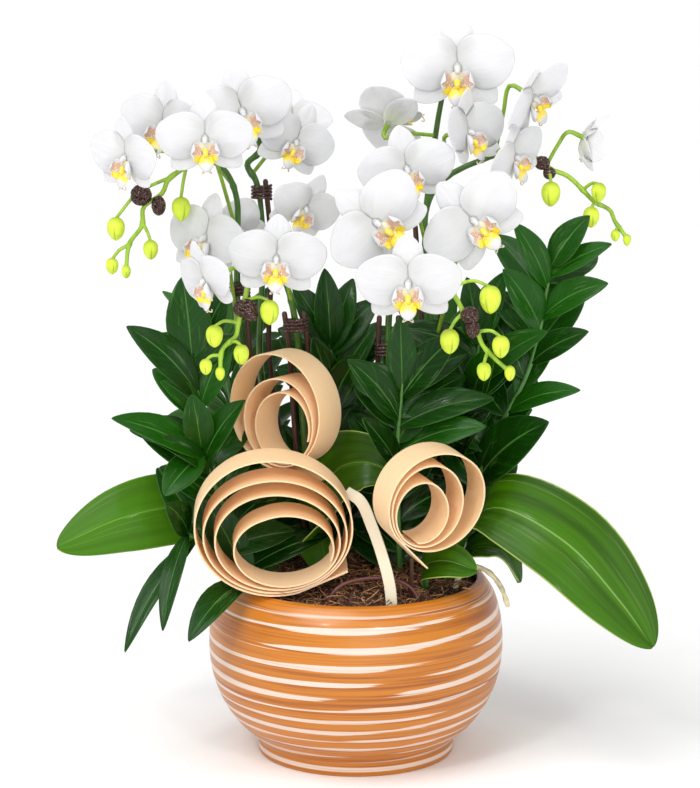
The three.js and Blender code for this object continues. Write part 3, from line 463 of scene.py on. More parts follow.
class Value:
    """One socket of a node tree that takes part in Python expressions: each operator adds its Math node."""

    def __init__(self, nodes, socket):
        self.nodes = nodes
        self.socket = socket

    def math(self, operation, *values):
        return self.nodes.add("ShaderNodeMath", {"operation": operation}, dict(enumerate(values)))

    def __add__(self, other):
        return self.math("ADD", self, other)

    def __radd__(self, other):
        return self.math("ADD", other, self)

    def __sub__(self, other):
        return self.math("SUBTRACT", self, other)

    def __rsub__(self, other):
        return self.math("SUBTRACT", other, self)

    def __mul__(self, other):
        return self.math("MULTIPLY", self, other)

    def __rmul__(self, other):
        return self.math("MULTIPLY", other, self)

    def __truediv__(self, other):
        return self.math("DIVIDE", self, other)

    def __rtruediv__(self, other):
        return self.math("DIVIDE", other, self)

    def __abs__(self):
        return self.math("ABSOLUTE", self)

    def rise(self, low, high):
        """0 below low, 1 above high and smooth between them; the other way round if low is above high."""
        return self.nodes.add("ShaderNodeMapRange", {"interpolation_type": "SMOOTHSTEP"},
                              {"Value": self, "From Min": low, "From Max": high})

    def band(self, start, full, fade, end):
        """1 from full to fade, and 0 below start and above end."""
        return self.rise(start, full) * self.rise(end, fade)

    def output(self, name):
        return Value(self.nodes, self.socket.node.outputs[name])


class Nodes:
    """A node tree in the making."""

    def __init__(self, tree):
        self.tree = tree

    def add(self, kind, settings=None, inputs=None, out=0):
        """Adds a node: its settings come first, then the values or links of its sockets."""
        made = self.tree.nodes.new(kind)
        for name, value in (settings or {}).items():
            setattr(made, name, value)
        for name, value in (inputs or {}).items():
            if isinstance(value, Value):
                self.tree.links.new(value.socket, made.inputs[name])
            else:
                made.inputs[name].default_value = value
        return Value(self, made.outputs[out]) if made.outputs else None


class Finish(Nodes):
    """A material in the making, round one shader. What is the same all over is given at once."""

    def __init__(self, name, **fixed):
        self.material = bpy.data.materials.new(name)
        self.material.use_nodes = True
        super().__init__(self.material.node_tree)
        self.tree.nodes.clear()
        inputs = {key.replace("_", " ").title().replace("Ior", "IOR"): value for key, value in fixed.items()}
        self.shader = self.add("ShaderNodeBsdfPrincipled", {}, inputs).socket.node
        self.add("ShaderNodeOutputMaterial", {}, {"Surface": Value(self, self.shader.outputs[0])})

    def wear(self, name, value):
        """Feeds what changes over the surface to the shader."""
        self.tree.links.new(value.socket, self.shader.inputs[name])

    def place(self):
        return self.add("ShaderNodeTexCoord", out="Object")

    def lie(self):
        """Where a point lies on its own patch. X goes across a blade, round a ball or along a strip, there in
        widths of the strip, and Y goes along a blade, down a ball or across a strip."""
        return self.add("ShaderNodeUVMap", {"uv_map": "lie"})

    def marks(self):
        """The marks of the surface: its tint, its first and second stain, and 1 on its back."""
        marks = self.add("ShaderNodeAttribute", {"attribute_name": "marks"}, out="Color")
        return (*self.split(marks), marks.output("Alpha"))

    def split(self, vector):
        parts = self.add("ShaderNodeSeparateXYZ", {}, {0: vector})
        return parts, parts.output("Y"), parts.output("Z")

    def stretch(self, vector, x, y, z):
        return self.add("ShaderNodeVectorMath", {"operation": "MULTIPLY"}, {0: vector, 1: (x, y, z)})

    def joined(self, x, y, z=0):
        return self.add("ShaderNodeCombineXYZ", {}, {0: x, 1: y, 2: z})

    def noise(self, vector, scale, detail=2.0, rough=0.5):
        return self.add("ShaderNodeTexNoise", {}, {"Vector": vector, "Scale": scale, "Detail": detail,
                                                   "Roughness": rough})

    def cells(self, vector, scale):
        return self.add("ShaderNodeTexVoronoi", {}, {"Vector": vector, "Scale": scale})

    def blend(self, low, high, factor):
        """A colour between two, by a factor from 0 to 1."""
        sides = [side if isinstance(side, Value) else (*side, 1) for side in (low, high)]
        return self.add("ShaderNodeMix", {"data_type": "RGBA"}, {0: factor, 6: sides[0], 7: sides[1]}, out=2)

    def bump(self, height, depth, strength=1.0):
        """Relief from a height between 0 and 1 that stands for a depth in metres."""
        self.wear("Normal", self.add("ShaderNodeBump", {}, {"Height": height, "Distance": depth,
                                                             "Strength": strength}))


# ------------------------------------------------------------------ finishes

# The tints that the colours of the settings are blended with.
# The second tint here is painted shade on the petals.
PETAL_GREEN, PETAL_SHADE_LILAC, LIP_BLUSH = (0.70, 0.76, 0.46), (0.80, 0.79, 0.86), (0.92, 0.74, 0.58)
# The first tint here and the first on the next line are painted highlights on strap leaves and leaflets.
STRAP_HIGHLIGHT, STRAP_EDGE, STRAP_RIB = (0.34, 0.5, 0.14), (0.42, 0.55, 0.13), (0.24, 0.44, 0.09)
LEAFLET_HIGHLIGHT, LEAFLET_EDGE, LEAFLET_RIB = (0.17, 0.34, 0.10), (0.10, 0.30, 0.04), (0.12, 0.32, 0.06)
LEAFLET_BACK, STALK_PALE = (0.07, 0.2, 0.04), (0.10, 0.28, 0.05)
# The colour of the painted glints on the wire.
WIRE_GLINT = (0.42, 0.33, 0.25)
FLOOR_TINTS = (0.93, 0.93, 0.93), (0.96, 0.96, 0.96)


def shade(colour, factor):
    """A colour made darker or lighter."""
    return tuple(min(1.0, c * factor) for c in colour)


# The glaze's band of stripes, its line on the foot and its line under the rim: the heights in metres at
# which each starts, is full, fades and ends.
STRIPES = (0.0095, 0.0125, 0.117, 0.1195)
FOOT_LINE = (0.0032, 0.004, 0.0062, 0.0072)
RIM_LINE = (0.1192, 0.1202, 0.1214, 0.1224)


def glaze(colours):
    """Ochre glaze, with cream stripes that lean a little and split as brush strokes do."""
    finish = Finish("glaze", roughness=0.36, coat_weight=0.12, coat_roughness=0.08)
    place = finish.place()
    x, _, z = finish.split(place)
    lean = finish.noise(finish.stretch(place, 4.5, 4.5, 4), 1, 0)
    drift = finish.noise(finish.stretch(place, 6, 6, 6), 1, 1)
    streaks = finish.noise(finish.stretch(place, 7, 7, 560), 1, 3, 0.6)
    broad = finish.noise(finish.stretch(place, 6, 6, 120), 1, 2, 0.5)
    brush = finish.noise(finish.stretch(place, 5, 5, 950), 1, 2)
    first = (z * 148 - z * z * 320 - x * 4.0 + lean * 1.3 - 0.3) * FULL_TURN
    second = (z * 83 + x * 1.6 + drift * 1.6) * FULL_TURN
    waves = first.math("COSINE", first) * 0.52 + second.math("COSINE", second) * 0.22
    field = waves + (streaks - 0.5) * 0.9 + (broad - 0.5) * 0.8
    rings = field.rise(0.27, 0.4) * z.band(*STRIPES)
    rim_line = z.band(*RIM_LINE) * streaks.rise(0.42, 0.56) * 0.7
    thick = finish.blend(colours.glaze_dark, colours.glaze, (streaks * 0.6 + broad * 0.4).rise(0.34, 0.52))
    ochre = finish.blend(thick, colours.glaze_dark, brush.rise(0.5, 0.68) * 0.4)
    cream = finish.blend(ochre, colours.stripe, 0.9 - streaks.rise(0.5, 0.35) * 0.35)
    finish.wear("Base Color", finish.blend(ochre, cream, rings + z.band(*FOOT_LINE) + rim_line))
    finish.bump(rings * 0.5 + streaks * 0.5, 0.2 * MM, 0.25)
    return finish.material


def fibre(colours):
    finish = Finish("moss_fibre", roughness=0.85)
    tint = finish.add("ShaderNodeAttribute", {"attribute_name": "tint"}, out="Fac")
    grain = finish.noise(finish.place(), 400, 2)
    # Each fibre lies at random between dark moss, partly painted shade, and sunlit moss.
    dark = finish.blend(colours.moss_dark, colours.moss, tint.rise(0.1, 0.95))
    # The light flecks on the brighter fibres are painted highlights.
    finish.wear("Base Color", finish.blend(dark, shade(colours.moss, 1.5), (grain * tint).rise(0.42, 0.6)))
    finish.bump(grain, 0.2 * MM, 0.5)
    return finish.material


def moss_bed(colours):
    finish = Finish("moss_bed", roughness=0.95)
    grain = finish.noise(finish.place(), 240, 4, 0.7)
    # The bed is the dark moss made darker still: painted shade between the fibres.
    finish.wear("Base Color", finish.blend(shade(colours.moss_dark, 0.35), colours.moss_dark, grain))
    finish.bump(grain, 1.5 * MM, 0.8)
    return finish.material


def potting_mix(colours):
    finish = Finish("potting_mix", roughness=0.95)
    cells = finish.cells(finish.place(), 120)
    finish.wear("Base Color", finish.blend(shade(colours.mix, 0.5), shade(colours.mix, 1.5), cells))
    finish.bump(cells, 2 * MM, 0.8)
    return finish.material


def petal(colours):
    """White, with veins that fan out from the base, soft clouds of painted lilac shade and a little green at
    the base.
    """
    finish = Finish("petal", roughness=0.5, sheen_weight=0.2, sheen_roughness=0.4, subsurface_weight=0.7,
                    subsurface_radius=(1, 1, 1), subsurface_scale=0.006)
    across, along, _ = finish.split(finish.lie())
    tint, green, _, back = finish.marks()
    fan = finish.joined((across - 0.5) * (22 - along * 8), along * 1.3, tint * 30)
    veins = finish.noise(fan, 1, 2, 0.6)
    shade_cloud = finish.noise(finish.joined((across - 0.5) * 3, along * 2.2, tint * 17), 1, 2)
    lines = veins.rise(0.4, 0.64)
    base = along.rise(0.7, 0.0)
    cream = finish.blend(colours.petal, PETAL_GREEN, base * green * 0.8)
    # The lilac of the clouds is painted shade; veins and the back side add a little lilac too.
    shaded = lines * 0.1 + shade_cloud.rise(0.4, 0.75) * 0.22 + back * 0.12
    finish.wear("Base Color", finish.blend(cream, PETAL_SHADE_LILAC, shaded))
    finish.wear("Roughness", 0.42 + lines * 0.12)
    finish.bump(lines + shade_cloud * 2, 0.3 * MM, 0.22)
    return finish.material


def lip(colours):
    """White, yellow where its first stain is and speckled where its second is."""
    finish = Finish("lip", roughness=0.42, sheen_weight=0.1)
    _, yellow, red, back = finish.marks()
    place = finish.place()
    ragged = finish.noise(place, 520, 2)
    dots = finish.noise(place, 1050, 1)
    gold = (yellow + ragged * 0.4 - 0.2).rise(0.3, 0.8) * (1 - back * 0.75)
    spot = (dots + red * 0.42 - 0.42).rise(0.28, 0.35) * red.rise(0.05, 0.3) * (1 - back)
    ground = finish.blend(colours.petal, colours.throat, gold)
    blush = finish.blend(ground, LIP_BLUSH, red.rise(0.2, 1.0) * (1 - back) * 0.7)
    finish.wear("Base Color", finish.blend(blush, colours.speckle, spot * 0.55))
    finish.bump(ragged, 0.3 * MM, 0.3)
    return finish.material


def stem(colours):
    """Green that turns lime where the tint says that the stem is young."""
    finish = Finish("stem", roughness=0.4, coat_weight=0.15, coat_roughness=0.3)
    age = finish.add("ShaderNodeAttribute", {"attribute_name": "tint"}, out="Fac")
    place = finish.place()
    mottle = finish.noise(finish.stretch(place, 260, 260, 60), 1, 3)
    green = finish.blend(shade(colours.spike, 0.6), colours.spike, mottle.rise(0.3, 0.62))
    young = finish.blend(shade(colours.shoot, 0.7), colours.shoot, mottle.rise(0.3, 0.62))
    finish.wear("Base Color", finish.blend(green, young, age.rise(0.72, 1.0)))
    finish.bump(mottle, 0.3 * MM, 0.25)
    return finish.material


def bud_skin(colours):
    """Lime green, with painted shade that darkens it towards the stalk and along the seam grooves."""
    finish = Finish("bud", roughness=0.45, specular_ior_level=0.3)
    _, along, _ = finish.split(finish.lie())
    _, seam, _, _ = finish.marks()
    mottle = finish.noise(finish.place(), 130, 2)
    deep = finish.blend(shade(colours.bud, 0.82), colours.bud, mottle.rise(0.3, 0.6))
    # Darker towards the stalk and along the seam grooves: painted shade.
    stalk_end_shaded = finish.blend(deep, shade(colours.bud, 0.5), along.rise(0.45, 0.0) * 0.8)
    finish.wear("Base Color", finish.blend(stalk_end_shaded, shade(colours.bud, 0.4), seam.rise(0.35, 0.95) * 0.75))
    finish.bump(mottle, 0.4 * MM, 0.12)
    return finish.material


def strap_leaf(colours):
    """Deep green with fine lines along it, a pale rib and edge, and painted highlights. Painted shade makes
    it darker near the middle of the plant.
    """
    finish = Finish("strap_leaf", roughness=0.3, specular_ior_level=0.14, coat_weight=0.08,
                    coat_roughness=0.1)
    across, along, _ = finish.split(finish.lie())
    tint, _, _, back = finish.marks()
    off = abs(across - 0.5) * 2
    grain = finish.noise(finish.joined(across * 46, along * 1.4, tint * 9), 1, 3, 0.6)
    broad = finish.noise(finish.joined(across * 7, along * 1.1, tint * 5), 1, 2)
    glint = finish.noise(finish.joined(across * 16, along * 1.6, tint * 31), 1, 2, 0.6)
    x, _, _ = finish.split(finish.place())
    # Painted shade: this factor falls from 1 to 0.4 near the middle of the plant, where leaves crowd.
    outside = abs(x).rise(0.0, 0.1) * 0.6 + 0.4
    clouds = (broad.rise(0.3, 0.7) + 0.5) * 0.66
    green = finish.blend(shade(colours.strap_leaf, 0.3), colours.strap_leaf, clouds * outside)
    lined = finish.blend(green, shade(colours.strap_leaf, 1.5), grain.rise(0.5, 0.72) * 0.22 * outside)
    # Pale streaks where the glint noise is high are painted highlights.
    painted_highlight = glint.rise(0.56, 0.72) * along.rise(0.05, 0.3) * 0.16 * outside
    pale = finish.blend(lined, STRAP_HIGHLIGHT, painted_highlight)
    edge = finish.blend(pale, STRAP_EDGE, off.rise(0.955, 0.995) * 0.8)
    rib = off.rise(0.035, 0.012) * along.rise(0.995, 0.9)
    ribbed = finish.blend(edge, STRAP_RIB, rib * 0.6 * outside)
    finish.wear("Base Color", finish.blend(ribbed, shade(colours.strap_leaf, 1.3), back * 0.5))
    finish.wear("Roughness", 0.4 - glint.rise(0.45, 0.65) * 0.2 + back * 0.2)
    finish.bump(grain * 0.7 + glint * 0.8 - rib, 0.5 * MM, 0.4)
    return finish.material


def leaflet(colours):
    """Dark glossy green with slanting side veins and painted highlights. Painted shade makes it darker deep
    inside the plant.
    """
    finish = Finish("leaflet", roughness=0.22, specular_ior_level=0.18, coat_weight=0.08, coat_roughness=0.1)
    across, along, _ = finish.split(finish.lie())
    tint, _, _, back = finish.marks()
    off = abs(across - 0.5) * 2
    slant = along * 9 - off * 2.6
    side_veins = finish.noise(finish.joined(slant * 2.2, off * 0.6, tint * 40), 1, 2)
    ripple = finish.noise(finish.joined(across * 26, along * 7, tint * 20), 1, 3, 0.6)
    glint = finish.noise(finish.joined(across * 9, along * 2.2, tint * 53), 1, 2, 0.6)
    x, y, z = finish.split(finish.place())
    # Painted shade: this factor falls to 0 near the plant's axis and low down, deep inside the plant.
    outside = (x * x + y * y).rise(0.0004, 0.011) * 0.6 + z.rise(0.13, 0.27) * 0.4
    fresh = (tint.rise(0.0, 0.9) + 0.5) * 0.66 * outside
    green = finish.blend(shade(colours.frond, 0.22), colours.frond, fresh)
    lit = finish.blend(green, shade(colours.frond, 2.0), side_veins.rise(0.45, 0.75) * 0.25 + tint * 0.1)
    # Pale patches where the glint noise is high are painted highlights.
    pale = finish.blend(lit, LEAFLET_HIGHLIGHT, glint.rise(0.6, 0.74) * 0.3)
    edge = finish.blend(pale, LEAFLET_EDGE, off.rise(0.94, 1.0) * 0.5)
    rib = off.rise(0.06, 0.015) * along.rise(1.0, 0.8)
    ribbed = finish.blend(edge, LEAFLET_RIB, rib * 0.45)
    finish.wear("Base Color", finish.blend(ribbed, LEAFLET_BACK, back * 0.6))
    finish.wear("Roughness", 0.34 - glint.rise(0.45, 0.65) * 0.18 + back * 0.2)
    finish.bump(ripple * 0.7 + side_veins * 0.6 + glint - rib, 0.5 * MM, 0.5)
    return finish.material


def stalk_skin(colours):
    finish = Finish("stalk", roughness=0.4, coat_weight=0.2, coat_roughness=0.2)
    mottle = finish.noise(finish.stretch(finish.place(), 300, 300, 50), 1, 3)
    finish.wear("Base Color", finish.blend(colours.frond, STALK_PALE, mottle))
    finish.bump(mottle, 0.3 * MM, 0.3)
    return finish.material


def dark_wood(colours):
    finish = Finish("stake_wood", roughness=0.5)
    grain = finish.noise(finish.stretch(finish.place(), 700, 700, 40), 1, 4, 0.6)
    finish.wear("Base Color", finish.blend(shade(colours.stake, 0.45), shade(colours.stake, 1.3), grain))
    finish.bump(grain, 0.3 * MM, 0.5)
    return finish.material


def dark_wire(colours, name="dark_wire", flecks=0.75, light=0.9):
    """Dark wire with light flecks of painted glint. flecks is how much they show, and light how light its
    paint is.
    """
    finish = Finish(name, roughness=0.35, specular_ior_level=0.3)
    worn = finish.noise(finish.place(), 500, 3)
    dark = finish.blend(shade(colours.wire, 0.3 * light), shade(colours.wire, light), worn)
    # Light flecks where the fine noise peaks are painted glints.
    glint_flecks = finish.noise(finish.place(), 1100, 1).rise(0.6, 0.68)
    finish.wear("Base Color", finish.blend(dark, WIRE_GLINT, glint_flecks * flecks))
    finish.wear("Roughness", 0.22 + worn * 0.3)
    finish.bump(worn, 0.15 * MM, 0.4)
    return finish.material


def veneer(colours, name="veneer", tone=None):
    """Planed wood whose grain runs along its strip."""
    tone = tone or colours.veneer
    finish = Finish(name, roughness=0.55, subsurface_weight=0.5, subsurface_radius=(1, 0.72, 0.5),
                    subsurface_scale=0.005)
    run, wide, _ = finish.split(finish.lie())
    edge = (abs(wide - 0.5) * 2).rise(0.93, 0.99)
    grain = finish.noise(finish.joined(run * 3.2, wide * 60), 1, 4, 0.65)
    bands = finish.noise(finish.joined(run * 1.1, wide * 9), 1, 2)
    pores = finish.noise(finish.joined(run * 26, wide * 130), 1, 2)
    wood = finish.blend(shade(tone, 0.92), tone, grain.rise(0.3, 0.62))
    tinted = finish.blend(wood, (tone[0] * 0.99, tone[1] * 0.9, tone[2] * 0.78), bands.rise(0.42, 0.7) * 0.3)
    flecked = finish.blend(tinted, shade(tone, 0.62), pores.rise(0.66, 0.76) * 0.3)
    finish.wear("Base Color", finish.blend(flecked, tone, edge * 0.6))
    finish.wear("Roughness", 0.5 + grain * 0.18)
    finish.bump(grain * 0.6 + pores * 0.4, 0.2 * MM, 0.35)
    return finish.material


def root_skin(colours):
    finish = Finish("root_skin", roughness=0.75)
    mottle = finish.noise(finish.place(), 220, 4, 0.6)
    old, fresh = shade(colours.root, 0.62), shade(colours.root, 1.1)
    finish.wear("Base Color", finish.blend(old, fresh, mottle.rise(0.3, 0.6)))
    finish.bump(mottle, 0.6 * MM, 0.5)
    return finish.material


def pale_floor():
    finish = Finish("pale_floor", roughness=0.85)
    grain = finish.noise(finish.place(), 40, 2)
    finish.wear("Base Color", finish.blend(*FLOOR_TINTS, grain))
    return finish.material


FINISHES = {
    "glaze": glaze, "fibre": fibre, "moss_bed": moss_bed, "mix": potting_mix, "petal": petal, "lip": lip,
    "stem": stem, "bud": bud_skin, "strap_leaf": strap_leaf, "leaflet": leaflet, "stalk": stalk_skin,
    "wood": dark_wood, "wire": dark_wire, "veneer": veneer, "root": root_skin,
    "bow": lambda colours: dark_wire(colours, "bow_wire", 0.0, 2.2),
    "strap": lambda colours: veneer(colours, "strap", colours.strap),
}
made_finishes = {}


class Palette:
    """The colours of the settings as plain tuples."""

    def __init__(self, colours):
        for name in OrchidColours.__annotations__:
            setattr(self, name, tuple(getattr(colours, name)))


def finish_named(name):
    if name not in made_finishes:
        made_finishes[name] = FINISHES[name](Palette(bpy.context.scene.orchid_colours))
    return made_finishes[name]


# ------------------------------------------------------------------ lines and surfaces

def unit(vectors):
    vectors = np.asarray(vectors, float)
    return vectors / np.maximum(np.linalg.norm(vectors, axis=-1, keepdims=True), 1e-12)


class Route:
    """A smooth line through a few points, measured along its own length."""

    STEPS = 24  # on the stretch between two points

    def __init__(self, points):
        knots = np.asarray(points, float)
        knots = np.vstack([2 * knots[0] - knots[1], knots, 2 * knots[-1] - knots[-2]])
        gaps = np.linalg.norm(np.diff(knots, axis=0), axis=1) ** 0.5
        t = np.linspace(0, 1, self.STEPS, endpoint=False)[:, None]
        line = []
        for i in range(1, len(knots) - 2):
            a, b, c, d = knots[i - 1:i + 3]
            before, here, after = gaps[i - 1:i + 2]
            leave = ((b - a) / before - (c - a) / (before + here) + (c - b) / here) * here
            arrive = ((c - b) / here - (d - b) / (here + after) + (d - c) / after) * here
            line.append((2 * t ** 3 - 3 * t ** 2 + 1) * b + (t ** 3 - 2 * t ** 2 + t) * leave
                        + (3 * t ** 2 - 2 * t ** 3) * c + (t ** 3 - t ** 2) * arrive)
        self.line = np.vstack([*line, knots[-2][None]])
        self.run = np.concatenate([[0], np.cumsum(np.linalg.norm(np.diff(self.line, axis=0), axis=1))])
        self.length = self.run[-1]

    def at(self, share):
        where = np.asarray(share, float) * self.length
        return np.stack([np.interp(where, self.run, self.line[:, axis]) for axis in range(3)], axis=-1)

    def heading(self, share):
        near = 0.004
        share = np.asarray(share, float)
        return unit(self.at(np.clip(share + near, 0, 1)) - self.at(np.clip(share - near, 0, 1)))

    def share_at_height(self, height):
        above = np.nonzero(self.line[:, 2] >= height)[0]
        return self.run[above[0]] / self.length if len(above) else 1.0


def between(grid):
    """The faces between rings of corners, each closed on itself."""
    beside = np.roll(grid, -1, axis=1)
    return np.stack([grid[:-1], grid[1:], beside[1:], beside[:-1]], -1).reshape(-1, 4)


class Shape:
    """Patches of surface gathered into one mesh. Each corner has its place on its patch, and its marks."""

    def __init__(self):
        self.corners, self.lies, self.marks, self.faces, self.slots = [], [], [], [], []
        self.count = 0

    def add(self, corners, lies, marks, faces, slot=0):
        self.corners.append(corners)
        self.lies.append(lies)
        self.marks.append(marks)
        for group in faces:
            self.faces.extend((np.asarray(group) + self.count).tolist())
            self.slots.extend([slot] * len(group))
        self.count += len(corners)

    def blade(self, place, rows, across, thick, tint=0.0, stains=None, slot=0):
        """A thin closed leaf or petal. place(u, v) gives points of its middle surface, with u from its base
        to its tip and v from -1 to 1 across it; stains(u, v) its two stains."""
        u = (0.5 - 0.5 * np.cos(np.linspace(0, math.pi, rows + 2)))[1:-1]
        v = np.sin(np.linspace(-math.pi / 2, math.pi / 2, across))
        u, v = np.meshgrid(u, v, indexing="ij")
        middle = place(u, v)
        ends = place(np.array([0.0, 1.0]), np.zeros(2))
        normal = unit(np.cross(np.gradient(middle, axis=0), np.gradient(middle, axis=1)))
        lift = normal * (thick / 2 * np.sqrt(np.sqrt(np.maximum(0, 1 - v ** 2))))[..., None]
        front = middle + lift
        back = (middle - lift)[:, 1:-1]
        corners = np.vstack([front.reshape(-1, 3), back.reshape(-1, 3), ends])
        count = rows * across
        top = np.arange(count).reshape(rows, across)
        under = top.copy()
        under[:, 1:-1] = count + np.arange(rows * (across - 2)).reshape(rows, across - 2)
        base, tip = len(corners) - 2, len(corners) - 1
        faces = []
        for sheet, turned in ((top, 1), (under, -1)):
            quads = np.stack([sheet[:-1, :-1], sheet[1:, :-1], sheet[1:, 1:], sheet[:-1, 1:]], -1)
            quads = quads.reshape(-1, 4)
            first = np.stack([np.full(across - 1, base), sheet[0, :-1], sheet[0, 1:]], -1)
            last = np.stack([sheet[-1, :-1], np.full(across - 1, tip), sheet[-1, 1:]], -1)
            faces += [quads[:, ::turned], first[:, ::turned], last[:, ::turned]]

        def spread(values):
            return np.concatenate([values.ravel(), values[:, 1:-1].ravel()])

        lie = np.stack([np.append(spread(v * 0.5 + 0.5), [0.5, 0.5]), np.append(spread(u), [0, 1])], -1)
        marks = np.zeros((len(corners), 4))
        marks[:, 0] = tint
        marks[count:-2, 3] = 1
        if stains:
            for channel, stain in enumerate(stains(u, v), 1):
                marks[:-2, channel] = spread(np.broadcast_to(stain, u.shape))
                marks[-2:, channel] = stain.flat[0], stain.flat[-1]
        self.add(corners, lie, marks, faces, slot)

    def closed(self, rings, poles, lies=None, marks=None, slot=0, upwards=False):
        """A closed body from rings of corners, each anticlockwise from above, and the two points that close
        it. The rings follow each other downwards on its outside, or upwards where it says so."""
        rings = np.asarray(rings, float)
        corners = np.vstack([rings.reshape(-1, 3), poles])
        count, sides = rings.shape[:2]
        grid = np.arange(count * sides).reshape(count, sides)
        beside = np.roll(grid, -1, axis=1)
        first, last = (np.full(sides, len(corners) - back) for back in (2, 1))
        faces = [between(grid), np.stack([first, grid[0], beside[0]], -1),
                 np.stack([last, beside[-1], grid[-1]], -1)]
        if upwards:
            faces = [np.roll(group[:, ::-1], 1, axis=1) for group in faces]
        lies = np.zeros((len(corners), 2)) if lies is None else lies
        marks = np.zeros((len(corners), 4)) if marks is None else marks
        self.add(corners, lies, marks, faces, slot)

    def ball(self, place, rows, sides, tint=0.0, stain=None, slot=0):
        """A closed round body. place(down, round) gives its points for shares from its top to its bottom and
        angles round it."""
        down = np.linspace(0, 1, rows + 2)[1:-1]
        down, angle = np.meshgrid(down, np.linspace(0, FULL_TURN, sides, endpoint=False), indexing="ij")
        lies = np.vstack([np.stack([angle / FULL_TURN, down], -1).reshape(-1, 2), [[0, 0], [0, 1]]])
        marks = np.zeros((len(lies), 4))
        marks[:, 0] = tint
        if stain:
            marks[:-2, 1] = stain(down, angle).ravel()
        poles = place(np.array([0.0, 1.0]), np.zeros(2))
        self.closed(place(down, angle), poles, lies, marks, slot)

    def strip(self, middle, out, side, width, thick):
        """A flat strip along a line: out is the way its face looks and side the way its width lies."""
        run = np.concatenate([[0], np.cumsum(np.linalg.norm(np.diff(middle, axis=0), axis=1))]) / width
        corners, lies = [], []
        for across, over in ((-1, -1), (1, -1), (1, 1), (-1, 1)):
            corners.append(middle + side * (across * width / 2) + out * (over * thick / 2))
            lies.append(np.stack([run, np.full(len(run), (across + 1) / 2)], -1))
        grid = np.arange(len(middle) * 4).reshape(-1, 4)
        self.add(np.stack(corners, 1).reshape(-1, 3), np.stack(lies, 1).reshape(-1, 2),
                 np.zeros((len(middle) * 4, 4)), [between(grid), np.array([grid[0], grid[-1][::-1]])])

    def object(self, name, finishes, sharp=None):
        """The finished object, in metres."""
        mesh = bpy.data.meshes.new(name)
        corners = np.vstack(self.corners) * MM
        mesh.from_pydata(corners.tolist(), [], self.faces)
        mesh.polygons.foreach_set("material_index", self.slots)
        lies = np.vstack(self.lies)
        corner_of_loop = np.zeros(len(mesh.loops), int)
        mesh.loops.foreach_get("vertex_index", corner_of_loop)
        mesh.uv_layers.new(name="lie").data.foreach_set("uv", lies[corner_of_loop].ravel())
        mesh.color_attributes.new("marks", "FLOAT_COLOR", "POINT").data.foreach_set(
            "color", np.vstack(self.marks).ravel())
        for finish in finishes:
            mesh.materials.append(finish_named(finish))
        mesh.shade_smooth()
        if sharp:
            mesh.set_sharp_from_angle(angle=math.radians(sharp))
        mesh.update()
        made = bpy.data.objects.new(name, mesh)
        bpy.context.scene.collection.objects.link(made)
        return made


def facing(yaw, pitch, roll):
    """The three directions of something turned: its right, its top and the way it looks."""
    a, p, r = (math.radians(angle) for angle in (yaw, pitch, roll))
    look = np.array([math.sin(a) * math.cos(p), -math.cos(a) * math.cos(p), math.sin(p)])
    level = np.array([math.cos(a), math.sin(a), 0])
    upright = np.cross(look, level)
    return level * math.cos(r) - upright * math.sin(r), upright * math.cos(r) + level * math.sin(r), look


def belongs(made, node):
    """The object is attached to the body, and stands for a node where the frame has one of that name, which
    it hides.
    """
    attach(made, BODY)
    if node in frame["nodes"]:
        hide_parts(node)


# ------------------------------------------------------------------ rules for what repeats

def rule(name, inputs):
    """A new Geometry Nodes tree with its inputs, as name: socket type."""
    tree = bpy.data.node_groups.new(name, "GeometryNodeTree")
    keys = {}
    for label, kind in {"Geometry": "NodeSocketGeometry", **inputs}.items():
        keys[label] = tree.interface.new_socket(label, in_out="INPUT", socket_type=kind).identifier
    tree.interface.new_socket("Geometry", in_out="OUTPUT", socket_type="NodeSocketGeometry")
    nodes = Nodes(tree)
    given = nodes.add("NodeGroupInput")
    return nodes, {label: given.output(label) for label in keys}, keys


def close_rule(nodes, geometry, material):
    """Ends a tree as every one ends here: real geometry in one finish."""
    real = nodes.add("GeometryNodeRealizeInstances", {}, {"Geometry": geometry})
    smooth = nodes.add("GeometryNodeSetShadeSmooth", {}, {"Geometry": real})
    painted = nodes.add("GeometryNodeSetMaterial", {}, {"Geometry": smooth, "Material": material})
    nodes.add("NodeGroupOutput", {}, {0: painted})


def rod_rule():
    """Round bars along the edges of a mesh, as thick as its attribute says."""
    nodes, given, keys = rule("Rods along lines", {
        "Sides": "NodeSocketInt", "Material": "NodeSocketMaterial",
    })
    thick = nodes.add("GeometryNodeInputNamedAttribute", {"data_type": "FLOAT"}, {"Name": "thick"})
    lines = nodes.add("GeometryNodeMeshToCurve", {}, {"Mesh": given["Geometry"]})
    section = nodes.add("GeometryNodeCurvePrimitiveCircle", {"mode": "RADIUS"},
                        {"Resolution": given["Sides"], "Radius": 1.0})
    bars = nodes.add("GeometryNodeCurveToMesh", {},
                     {"Curve": lines, "Profile Curve": section, "Scale": thick, "Fill Caps": True})
    close_rule(nodes, bars, given["Material"])
    return nodes.tree, keys


